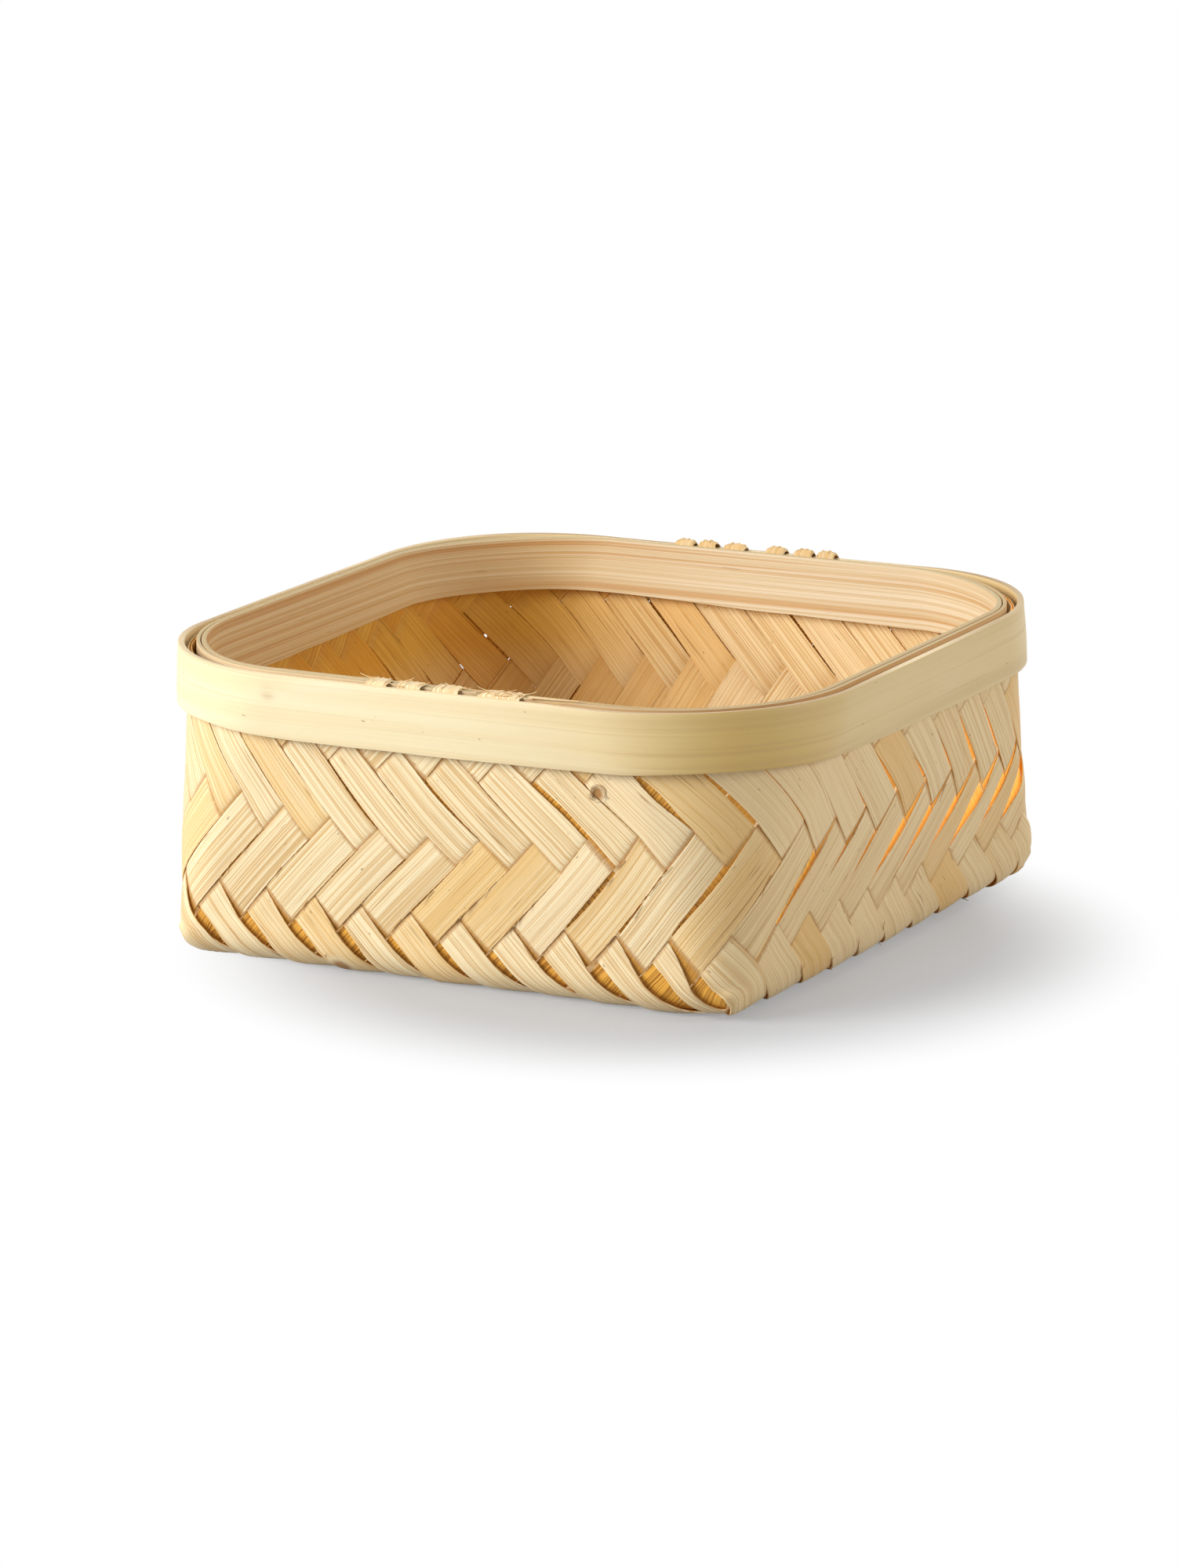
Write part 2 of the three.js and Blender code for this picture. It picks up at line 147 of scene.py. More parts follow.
PULL_SPREAD = 45.0
BASE_SHIFT = -1.4
BASE_SHIFT_RAMP = (40.0, 35.0)
EDGE_LIFT = 1.6
EDGE_LIFT_RAMP = (75.0, 30.0)
EDGE_LIFT_FADE = (0.0, 50.0)
EDGE_PUSH = 2.2
EDGE_PUSH_RAMP = (80.0, 15.0)
EDGE_PUSH_HEIGHT = 9.0
CORNER_ZONE = 30.0
GAIN_FADE = (BASE_EDGE_RADIUS, 40.0)
BASE_LEVELS = 6

# Size and period of each waver, in mm
GAP_WAVER = (0.12, 55.0)
RARE_GAP_WAVER = (0.5, 90.0)
EDGE_WAVER = (0.45, 130.0)
RAGGED_WAVER = (0.05, 3.1)
TWIST_WAVER = (0.1, 70.0)
WAVER_SHARES = (1.0, 0.61, 0.37)
WAVER_STRETCH = (0.85, 1.15)
WAVER_PEAK = 1.6

# Air between neighbouring splints
EVEN_GAP = 0.16
RARE_GAP = 1.6
LEAST_GAP = 0.06
GAP_SEED = 50000
EDGE_SEED = 70000

# How a float swells off the plaiting, by least and spread, and how a splint is crowned
WALL_SWELL = (0.12, 0.3)
EDGE_SWELL = (0.7, 0.5)
BASE_SWELL = 0.12
EDGE_LEVELS = 2
CROWN = 0.16
HELD_CROWN = 0.4
HELD_RAMP = (-12.0, 10.0)
# Reach in mm of the painted shade beside each dive, on the float that stays outside and on the run
# that goes inside
TUCK_OUTSIDE = 1.1
TUCK_INSIDE = 8.0

# The leaf-shaped slits between the lowest floats of each wall: least width and spread, in mm
SLIT_LEVEL = 0.8
SLIT_REACH = 0.95
NEAR_SLIT = 0.25
SLIT_WIDTHS = ((0.8, 0.8), (0.0, 0.0), (1.7, 1.3), (1.0, 1.0))

# Where the right wall's splints bow apart: the place where this starts, from 1 at the near
# corner to -1 at the far one, and its run, least width and spread in mm, row and reach
NEAR_BOW = (0.8, 1.4, 1.8, 5.0, 3.7, 1.2)
FAR_BOW = (0.5, 1.2, 0.5, 2.2, 5.3, 0.9)
TIGHT_ROWS = (0.5, 1.5)

# Wider openings beside the near corner and in the front and right walls: layer and
# number of the shared edge, place along it in rows, width in mm and reach in rows
OPENINGS = (
    (0, -11, -0.3, 9.0, 0.9),
    (0, -10, -1.3, 4.4, 1.2),
    (0, -9, -2.3, 1.6, 1.2),
    (1, 0, -17.0, 2.4, 1.2),
    (1, -2, -15.4, 2.0, 0.8),
    (1, 4, -10.4, 1.4, 1.2),
    (1, 2, -12.7, 1.6, 1.2),
    (0, -11, 3.1, 2.6, 1.9),
    (1, 0, -14.1, 2.6, 1.9),
)

# A frayed knot and a chip in the front wall, by place along it and height
KNOT = (-59.0, 60.2)
KNOT_SIZE = 2.3
CHIP = (38.0, -4.0)
CHIP_SIZE = KNOT_SIZE * 1.5

# Stains on the outer lath, by place along the front wall, height and size
STAINS = ((56.5, 81.8, 4.0), (-90.0, 91.0, 15.0))

# Loose fibres that stand off the edges of floats
FIBRE_SEED = 77
FLOAT_FIBRES = 110
HIGHEST_FIBRE = 5.5
FIBRE_LENGTHS = (3, 9)
FIBRE_EDGE = 0.95
FIBRE_LIFTS = (0.1, 0.9)
FIBRE_SPREAD = 1.2
FIBRE_FOOT = 0.35
FIBRE_WIDTH = 0.34
FIBRE_TAPER = 0.8
FIBRE_THICKNESS = 0.14
FIBRE_STEPS = 8
FIBRE_COLUMNS = 2
FIBRE_WARMTH = 0.2

# Frayed ends of the front binding on the rim, by ranges of length, place, depth and rise,
# and its loose end, by place, length, depth, rise and width
RIM_FIBRES = 30
RIM_FIBRE_RANGES = ((3, 8), (-44, 22), (-3.5, 1), (0.2, 1.6))
RIM_FIBRE_WIDTH = 0.35
RIM_FIBRE_FOOT = 0.5
LOOSE_END = (-33.0, -17.0, -1.5, 0.4, 1.6)

# Curls round the knot, by ranges of angle, sweep, radius over the knot's size, and lift,
# and the shaving at the chip, by angle, sweep, radius, lift and width
KNOT_FIBRES = 16
CURL_RANGES = ((0, 2 * math.pi), (0.8, 2.2), (0.8, 1.4), (0.1, 0.9))
CURL_WIDTH = 0.3
CURL_TAPER = 0.7
CURL_FOOT = 0.2
SHAVING = (0.2, 0.6, 6.0, 1.0, 1.6)

# How finely the visible splints and laths are made
STATION_STEP = 1.2
COLUMNS = 8
SPLINT_BEVEL = 0.1
HOOP_STEP = 2.5
HOOP_COLUMNS = 12
HOOP_BEVEL = 0.35
HOOP_CROWN = 0.25
FOOT_WAVER = (0.1, 60.0)
SHARP_ANGLE = math.radians(60)
SMOOTH_ANGLE = math.radians(40)
DIVE_LENGTH = 5.5
END_ZONE = 4 * PITCH
HALVINGS = 24
SMALLEST = 1e-6
NORMAL_STEP = 0.02

# How the grain is laid out: its coarseness by least and spread, and steps between splints
COARSENESS = (0.8, 0.7)
TURN_STEP = 600
GRAIN_STEP = 37
GRAIN_SPAN = 997
LATH_STEP = 90

# Ramps up, rightwards and backwards of the painted glow in the right wall's openings, in mm
LIT_HEIGHT = (12.0, 10.0)
LIT_RIGHT = (80.0, 20.0)
LIT_BACK = (-90.0, 150.0)
LIT_LEAST = 0.3

# Painted shade: where the bamboo is made warmer and darker inside, most on the left and low down,
# and warmer on the right wall's outside; and where its grain is calmer on the right, in metres
INWARD_SLOPE = 3
SHADE_LEAST = 0.22
SHADE_RAMP = (0.0, 0.09)
LOW_SHADE_LEAST = 0.3
LOW_SHADE_RAMP = (0.035, 0.03)
RIGHT_RAMP = (0.08, 0.02)
RIGHT_PAINTED_SHADE = 0.28
RIGHT_CALM = 0.4
CUT_RAMP = (0.4, 0.4)

# Camera
PHOTO_HEIGHT = 2000
SENSOR = 36.0
VIEW_AZIMUTH = math.radians(28.4)
VIEW_ELEVATION = math.radians(13.84)
VIEW_ROLL = math.radians(-0.79)
VIEW_DISTANCE = 2.0
VIEW_END = 20
FOCAL_PIXELS = 8073
VIEW_CENTRE = Vector((0, 0, 0.045))
VIEW_OFFSET = (-0.00577, -0.00352)

# Lamps: name, direction, distance, size and power
LAMPS = (
    ("key", (-0.6, -0.72, 0.46), 1.6, 1.1, 27.0),
    ("fill", (1.0, 0.2, 0.35), 1.8, 1.0, 11.0),
    ("top", (0.1, 0.8, 1.5), 1.6, 0.8, 7.0),
)

# World and floor
AMBIENT = 0.33
WHITE = (1, 1, 1)
# Painted shadow on the floor: it is grey, and as seen directly it lightens to white away from a
# middle beside the basket, the same whatever the lamps
FLOOR_SHADOW_GREY = (0.42, 0.43, 0.45)
FLOOR_SIZE = 12
FLOOR_GLOW_MIDDLE = (0.036, -0.028)
FLOOR_GLOW_SIZE = (0.137, 0.137)
FLOOR_GLOW_NEAR = 0.29
FLOOR_GLOW_START = 0.68
FLOOR_GLOW_END = 1.15


def wobble(place, seed, waver):
    """Smooth noise that goes as far as a waver's size, and turns over each of its periods."""
    size, period = waver
    draw = np.random.default_rng(seed)
    total = 0.0
    for share in WAVER_SHARES:
        length = period * share * draw.uniform(*WAVER_STRETCH)
        total = total + share * np.sin(2 * math.pi * (place / length + draw.uniform()))
    return size * (total / WAVER_PEAK)


def chance(seed):
    return np.random.default_rng(seed).uniform()


def drawn(sizes, seed):
    """A size drawn from a least one and the spread above it."""
    least, spread = sizes
    return least + spread * chance(seed)


def smooth(value):
    eased = np.clip(value, 0, 1)
    return eased * eased * (3 - 2 * eased)


def ease(value, ramp):
    """0 up to the start of a ramp, 1 beyond its run, and smooth between."""
    start, run = ramp
    return smooth((value - start) / run)


def bell(value, middle, reach):
    """1 in the middle, fading to 0 on both sides."""
    return np.exp(-(((value - middle) / reach) ** 2))


def turned(points, angle):
    """Points turned about the upright axis."""
    cosine, sine = np.cos(angle), np.sin(angle)
    x, y, z = np.moveaxis(points, -1, 0)
    return np.stack([x * cosine - y * sine, x * sine + y * cosine, z], -1)


def fold_profile(beyond):
    """Outward and upward travel of a point that lies beyond a base edge when laid flat."""
    angle = (beyond + HALF_FOLD) / BASE_EDGE_RADIUS
    bent = np.clip(angle, 0, QUARTER_TURN)
    outward = BASE_EDGE_RADIUS * np.sin(bent) - HALF_FOLD + np.minimum(angle, 0) * BASE_EDGE_RADIUS
    upward = BASE_EDGE_RADIUS * (1 - np.cos(bent))
    upward = upward + np.maximum(angle - QUARTER_TURN, 0) * BASE_EDGE_RADIUS
    return outward, upward


FOLD_OUTWARD, EDGE_HEIGHT = fold_profile(0.0)


def corner_fold(along):
    beyond = np.abs(along) - BASE_HALF
    return (fold_profile(beyond)[0] - beyond) / FOLD_OUTWARD


def base_point(along, up):
    across_out, across_up = fold_profile(np.abs(along) - BASE_HALF)
    outward, upward = fold_profile(up)
    x = np.sign(along) * (BASE_HALF + across_out)
    return np.stack([x, BASE_HALF + outward, np.hypot(across_up, upward)], -1)


def wall_point(along, up):
    """Point of the back wall, or of the next walls past its ends."""
    outward, upward = fold_profile(up)
    started = np.minimum(1, up / CORNER_START)
    grown = np.maximum(0, (up - CORNER_START) / (WALL_RUN - CORNER_START))
    growth = (RIM_CORNER_RADIUS - LOW_CORNER_RADIUS) * grown
    radius = np.maximum(SMALLEST, LOW_CORNER_RADIUS * started + growth)
    half = BASE_HALF + outward + CORNER_SAVING * growth
    eighth = half - CORNER_SAVING * radius
    straight = half - radius
    turns = np.round(along / WALL_LENGTH)
    local = along - turns * WALL_LENGTH
    share = (1 - started) * corner_fold(local) + started * np.abs(local) / BASE_HALF
    distance = np.abs(local) + (eighth - BASE_HALF) * share
    angle = np.maximum(0, distance - straight) / radius
    x = np.where(angle > 0, straight + radius * np.sin(angle), distance) * np.sign(local)
    y = straight + radius * np.cos(angle)
    upward = upward - FOLD_GAIN * ease(up, GAIN_FADE)
    lift = np.maximum(0, 1 - up / LEVEL_RISE)
    across_up = fold_profile(np.abs(local) - BASE_HALF)[1]
    z = upward + (np.hypot(across_up, EDGE_HEIGHT) - EDGE_HEIGHT) * lift * lift
    return turned(np.stack([x, y, z], -1), -turns * QUARTER_TURN)


def surface_point(along, up):
    wall = wall_point(along, np.maximum(up, SMALLEST))
    return np.where((up > 0)[..., None], wall, base_point(along, up))


def offset_point(along, up, depth):
    """Point at a depth outside the middle surface of the plaiting, seen from the back wall."""
    along, up, depth = np.broadcast_arrays(along, up, depth)
    climb = surface_point(along, up + NORMAL_STEP) - surface_point(along, up - NORMAL_STEP)
    run = surface_point(along + NORMAL_STEP, up) - surface_point(along - NORMAL_STEP, up)
    normal = np.cross(climb, run)
    normal /= np.linalg.norm(normal, axis=-1, keepdims=True)
    point = surface_point(along, up) + normal * depth[..., None]
    point[..., 2] += HALF_WEAVE
    return point


def around(place, values):
    """Smooth curve through values that lie a quarter of a wall apart, all round."""
    values = np.array(values, float)
    index = np.floor(place).astype(int)
    share = place - index
    before, here, after, later = (values[(index + step) % len(values)] for step in (-1, 0, 1, 2))
    bend = 2 * before - 5 * here + 4 * after - later
    turn = 3 * (here - after) + later - before
    return here + share / 2 * (after - before + share * (bend + share * turn))


def drifted(wall, along, up):
    """The rows of the twill climb towards the corners and drift along the walls."""
    place = PLACES_PER_WALL * (along / WALL_LENGTH + wall)
    level = up / LEVEL_RISE
    low = np.interp(level, (0, LOW_LEVEL, HIGH_LEVEL), (0, 1, 0))
    high = np.interp(level, (LOW_LEVEL, HIGH_LEVEL), (0, 1))
    local = along - WALL_LENGTH * np.round(along / WALL_LENGTH)
    from_corner = smooth((BASE_HALF + np.minimum(up, 0) - np.abs(local)) / CORNER_ZONE)
    into_base = np.clip(1 + level / BASE_LEVELS, 0, 1) * (level < LOW_LEVEL)
    low = low + (1 - low) * from_corner * into_base
    drift = around(place, LOW_DRIFT) * low + around(place, HIGH_DRIFT) * high
    rise = around(place, LOW_RISE) * low + around(place, HIGH_RISE) * high
    return along + drift, up + rise


def open_corners(wall, along, up):
    """Pushes the splints away from each corner of the base, which leaves a hole there."""
    for side in (-1, 1):
        corner = wall if side > 0 else wall - 1
        across = along - side * BASE_HALF
        distance = np.hypot(across, up) + SMALLEST
        hole = HOLE_RADIUS[corner % 4] ** 2 * bell(distance, 0, HOLE_SPREAD)
        stretch = np.sqrt(distance**2 + hole) / distance
        along = side * BASE_HALF + across * stretch
        up = up * stretch
    return along, up


def settle(points):
    """Pulls the corners in or out, shifts the base, and curls up its right edge."""
    moved = points.copy()
    x, y, z = np.moveaxis(points, -1, 0)
    height = np.clip(z / RIM_TOP, 0, 1)
    for (side_x, side_y), base, rim in zip(CORNER_SIDES, BASE_PULL, RIM_PULL):
        across = x - side_x * PULL_PLACE
        along = y - side_y * PULL_PLACE
        share = np.exp(-(across**2 + along**2) / PULL_SPREAD**2)
        for axis in (0, 1):
            moved[..., axis] += share * (base[axis] * (1 - height) + rim[axis] * height)
    moved[..., 1] += BASE_SHIFT * (1 - ease(z, BASE_SHIFT_RAMP))
    low = np.maximum(0, 1 - z / EDGE_PUSH_HEIGHT) ** 2
    moved[..., 0] += EDGE_PUSH * ease(x, EDGE_PUSH_RAMP) * low
    moved[..., 2] += EDGE_LIFT * ease(x, EDGE_LIFT_RAMP) * (1 - ease(z, EDGE_LIFT_FADE))
    return moved


def woven_point(wall, along, up, depth):
    drifted_along, raised = drifted(wall, along, up)
    opened_along, opened_up = open_corners(wall, drifted_along, raised)
    points = offset_point(opened_along, opened_up, depth)
    return settle(turned(points, -wall * QUARTER_TURN))


def lies_outside(climbs_left, level):
    """The twill: three rows of crossings show one slant of splints, and the next three the other."""
    row = (level + 1) % (2 * FLOAT_CROSSINGS)
    return climbs_left == (row < FLOAT_CROSSINGS)


def bowed_width(along, level, share, bow):
    """Width of the opening between two splints of the right wall that bow apart."""
    start, run, least, spread, middle, reach = bow
    width = smooth((start - along / BASE_HALF) / run) * (least + spread * share)
    return width * bell(level, middle, reach)


class Splint:
    """One splint, with u along it and v across it, measured on the flat base."""

    def __init__(self, turn, order):
        self.turn = turn
        self.order = order
        self.v = (order - 0.5) * PITCH
        self.layer = turn % 2
        self.sign = 1 if turn < 2 else -1
        self.far_wall = -turn % 4
        self.near_wall = (3 - turn) % 4
        place = SPLINTS_PER_SIDE + order if turn < 2 else SPLINTS_PER_SIDE + 1 - order
        self.name = f"splint_{'ab'[self.layer]}_{place:02d}"
        self.seed = 1000 * turn + 10 * order
        self.end = (SPLINTS_PER_SIDE + WALL_LEVELS) * PITCH - self.v
        self.find_floats()

    def find_floats(self):
        """Where the splint runs outside or inside, and the places at which it dives."""
        last = SPLINTS_PER_SIDE + WALL_LEVELS - self.v / PITCH
        orders = np.arange(-last, last + 0.5)
        sides = []
        for order in orders:
            level = round(self.v / PITCH + abs(order) - SPLINTS_PER_SIDE)
            sides.append(1 if lies_outside(order > 0, level) else -1)
        self.first_side = sides[0]
        self.dives = []
        self.floats = []
        start = -self.end
        for index in range(1, len(orders)):
            if sides[index] != sides[index - 1]:
                place = (orders[index] + orders[index - 1]) / 2 * PITCH
                self.dives.append((place, sides[index] - sides[index - 1]))
                self.floats.append((start, place, sides[index - 1]))
                start = place
        self.floats.append((start, self.end, sides[-1]))

    def level(self, u, v):
        return ((np.abs(u) + v) / math.sqrt(2) - BASE_HALF) / LEVEL_RISE

    def edge_number(self, boundary):
        """Number of the edge that this splint shares with a neighbour, alike for both."""
        return 1000 * self.layer + 10 * (self.sign * boundary + SPLINTS_PER_SIDE)

    def edge_gap(self, u, boundary):
        """Air between this splint and its neighbour, at the boundary that both share."""
        shared = self.sign * u
        seed = GAP_SEED + self.edge_number(boundary)
        gap = EVEN_GAP + wobble(shared, seed, GAP_WAVER)
        rare = RARE_GAP * chance(seed + 1) ** 4
        gap = gap + rare * (0.5 + wobble(shared, seed + 2, RARE_GAP_WAVER))
        level = self.level(u, boundary * PITCH)
        far = u > 0
        slit = np.where(far, drawn(SLIT_WIDTHS[self.far_wall], seed + 3), NEAR_SLIT)
        gap = gap + slit * bell(level, SLIT_LEVEL, SLIT_REACH)
        if self.near_wall == RIGHT_WALL:
            along = (u + boundary * PITCH) / math.sqrt(2)
            gap = gap + np.where(far, 0, bowed_width(along, level, chance(seed + 4), NEAR_BOW))
        if self.far_wall == RIGHT_WALL:
            along = (u - boundary * PITCH) / math.sqrt(2)
            gap = gap + np.where(far, bowed_width(along, level, chance(seed + 5), FAR_BOW), 0)
            gap = np.where(far, gap * ease(level, TIGHT_ROWS), gap)
        for layer, edge, place, width, reach in OPENINGS:
            if (layer, edge) == (self.layer, self.sign * boundary):
                gap = gap + width * bell(shared / PITCH, place, reach)
        return np.maximum(LEAST_GAP, gap)

    def edge(self, u, boundary):
        seed = EDGE_SEED + self.edge_number(boundary)
        return boundary * PITCH + self.sign * wobble(self.sign * u, seed, EDGE_WAVER)

    def across(self, u, q):
        """v of a point at q from -1 to 1 across the splint."""
        low = self.edge(u, self.order - 1) + self.edge_gap(u, self.order - 1) / 2
        high = self.edge(u, self.order) - self.edge_gap(u, self.order) / 2
        ragged = wobble(u, self.seed + 5, RAGGED_WAVER) * np.abs(q) ** 4
        return (low + high) / 2 + (high - low) / 2 * q + ragged

    def depth(self, u, v, q):
        depth = CROSS_OFFSET * self.side(u)
        for index, (start, stop, outside) in enumerate(self.floats):
            share = np.clip((u - start) / (stop - start), 0, 1)
            middle = (start + stop) / 2
            level = self.level(middle, self.v)
            swell = drawn(WALL_SWELL, self.seed + 100 + index)
            if outside > 0 and middle > 0 and -EDGE_LEVELS < level < EDGE_LEVELS:
                swell = drawn(EDGE_SWELL, self.seed + 200 + index)
            if level < -EDGE_LEVELS:
                swell = BASE_SWELL
            depth = depth + outside * swell * np.sin(math.pi * share) ** 2
        up = self.level(u, v) * LEVEL_RISE
        free = 1 - ease(up - RIM_LOW, HELD_RAMP)
        held = np.clip(depth, -CROSS_OFFSET, CROSS_OFFSET)
        depth = held + (depth - held) * free
        twist = wobble(u, self.seed + 7, TWIST_WAVER) * free
        crown = CROWN * (HELD_CROWN + (1 - HELD_CROWN) * free)
        return depth + twist * q - crown * q * q

    def side(self, u):
        """1 where the splint runs outside its neighbours and -1 where it runs inside them."""
        side = self.first_side + 0.0 * u
        for place, change in self.dives:
            side = side + change * smooth((u - place) / DIVE_LENGTH + 0.5)
        return side

    def tuck(self, u):
        """How close a point is to where the splint dives under its neighbours, from 0 to 1."""
        tuck = 0.0 * u
        for place, change in self.dives:
            outside = np.where(change < 0, u < place, u > place)
            tuck = np.maximum(tuck, outside * np.exp(-np.abs(u - place) / TUCK_OUTSIDE))
            tuck = np.maximum(tuck, ~outside * np.exp(-np.abs(u - place) / TUCK_INSIDE))
        return tuck

    def cut_end(self, q, side):
        """u at which a line along the splint meets the even height of the cut ends."""
        wall = self.far_wall if side > 0 else self.near_wall
        low = np.full(q.shape, self.end - END_ZONE / 2)
        high = np.full(q.shape, self.end + END_ZONE / 2)
        for _ in range(HALVINGS):
            reach = (low + high) / 2
            v = self.across(side * reach, q)
            up = (reach + v) / math.sqrt(2) - BASE_HALF
            raised = drifted(wall, side * (reach - v) / math.sqrt(2), up)[1]
            low = np.where(raised < WALL_RUN, reach, low)
            high = np.where(raised < WALL_RUN, high, reach)
        return low

    def place(self, u, v, q, above=0.0):
        depth = self.depth(u, v, q) + above
        up = self.level(u, v) * LEVEL_RISE
        far = woven_point(self.far_wall, (u - v) / math.sqrt(2), up, depth)
        near = woven_point(self.near_wall, (u + v) / math.sqrt(2), up, depth)
        points = np.where((u >= 0)[..., None], far, near)
        points[..., 2] = np.maximum(points[..., 2], SPLINT_THICKNESS / 2)
        return points


def activate(piece):
    bpy.ops.object.select_all(action="DESELECT")
    piece.select_set(True)
    bpy.context.view_layer.objects.active = piece


def thicken(piece, millimetres, **settings):
    apply_modifier(piece, "SOLIDIFY", thickness=millimetres * MM, offset=0, **settings)


def bevel(piece, millimetres, segments):
    settings = {"width": millimetres * MM, "segments": segments, "angle_limit": SHARP_ANGLE}
    apply_modifier(piece, "BEVEL", **settings)


def apply_modifier(piece, kind, **settings):
    modifier = piece.modifiers.new(kind.title(), kind)
    for name, value in settings.items():
        setattr(modifier, name, value)
    activate(piece)
    bpy.ops.object.modifier_apply(modifier=modifier.name)


def flat_strip(name, length_steps, width_steps):
    """A strip laid flat: a grid from -1 to 1 both ways, as it is before it is bent."""
    bpy.ops.object.select_all(action="DESELECT")
    bpy.ops.mesh.primitive_grid_add(
        x_subdivisions=length_steps, y_subdivisions=width_steps, size=2
    )
    strip = bpy.context.active_object
    strip.name = name
    strip.data.name = name
    return strip


def read_points(piece):
    numbers = np.empty(len(piece.data.vertices) * 3)
    piece.data.vertices.foreach_get("co", numbers)
    return numbers.reshape(-1, 3)


def write_points(piece, millimetres):
    piece.data.vertices.foreach_set("co", (millimetres * MM).ravel())
    piece.data.update()


def write_layout(piece, lengthwise, crosswise):
    """Keeps each point's place on the flat strip as a UV map, in metres."""
    corners = np.empty(len(piece.data.loops), dtype=int)
    piece.data.loops.foreach_get("vertex_index", corners)
    layout = np.stack([lengthwise[corners], crosswise[corners]], -1) * MM
    piece.data.uv_layers.active.data.foreach_set("uv", layout.ravel())


def write_attributes(piece, **attributes):
    for name, values in attributes.items():
        attribute = piece.data.attributes.new(name, "FLOAT", "POINT")
        spread = np.broadcast_to(values, len(piece.data.vertices)).copy()
        attribute.data.foreach_set("value", spread)


def write_facing(piece):
    """Marks the inner faces and the laths' upper and lower faces, and paints shade: warmer, darker
    bamboo inside, most on the left and low down, and on the right wall's outside.
    """
    points = read_points(piece)
    normals = np.empty(points.size)
    piece.data.vertex_normals.foreach_get("vector", normals)
    normals = normals.reshape(-1, 3)
    inwards = np.array((0, 0, RIM_TOP * MM / 2)) - points
    inwards /= np.linalg.norm(inwards, axis=1, keepdims=True)
    inward = smooth(0.5 + INWARD_SLOPE * (normals * inwards).sum(1))
    x, _, z = points.T
    shaded = SHADE_LEAST + (1 - SHADE_LEAST) * ease(-x, SHADE_RAMP)
    raised = ease(z, LOW_SHADE_RAMP)
    shaded = shaded * (LOW_SHADE_LEAST + (1 - LOW_SHADE_LEAST) * raised)
    right = ease(x, RIGHT_RAMP)
    # Painted shade: amber darkening on inner faces, most on the left and low down, and a warm shaded
    # tint on the right wall's outside
    warm = inward * shaded + (1 - inward) * RIGHT_PAINTED_SHADE * right
    cut = ease(np.abs(normals[:, 2]), CUT_RAMP)
    write_attributes(piece, inward=inward, warm=warm, calm=RIGHT_CALM * right, cut=cut)


def finish_piece(piece, material, slot, *nodes):
    piece.data.materials.clear()
    piece.data.materials.append(material)
    activate(piece)
    bpy.ops.object.shade_smooth_by_angle(angle=SMOOTH_ANGLE)
    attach(piece, "root")
    if nodes:
        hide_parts(*nodes)


def make_splint(splint, material):
    stations = int(2 * splint.end / STATION_STEP)
    strip = flat_strip(splint.name + "_split_bamboo", stations, COLUMNS)
    flat = read_points(strip)
    q = flat[:, 1]
    u = flat[:, 0] * splint.end
    for side in (1, -1):
        share = smooth((side * u - splint.end + END_ZONE) / END_ZONE)
        u = u + side * share * (splint.cut_end(q, side) - splint.end)
    v = splint.across(u, q)
    write_points(strip, splint.place(u, v, q))
    coarse = drawn(COARSENESS, splint.seed + 9)
    grain_start = GRAIN_STEP * splint.seed % GRAIN_SPAN
    write_layout(strip, u + TURN_STEP * splint.turn, coarse * v + grain_start)
    tone = chance(splint.seed + 8)
    x, y, z = read_points(strip).T / MM
    back = LIT_LEAST + (1 - LIT_LEAST) * ease(y, LIT_BACK)
    lit = ease(z, LIT_HEIGHT) * (ease(x, LIT_RIGHT) * back)
    write_attributes(strip, tone=tone, tuck=splint.tuck(u), side=splint.side(u), lit=lit)
    thicken(strip, SPLINT_THICKNESS)
    bevel(strip, SPLINT_BEVEL, 1)
    write_facing(strip)
    finish_piece(strip, material, "splints", splint.name)


class Number:
    """A socket of a shader that takes part in sums."""

    def __init__(self, shader, socket):
        self.shader = shader
        self.socket = socket

    def __add__(self, other):
        return self.shader.sum("ADD", self, other)

    def __sub__(self, other):
        return self.shader.sum("SUBTRACT", self, other)

    def __rsub__(self, other):
        return self.shader.sum("SUBTRACT", other, self)

    def __mul__(self, other):
        return self.shader.sum("MULTIPLY", self, other)

    __radd__ = __add__
    __rmul__ = __mul__


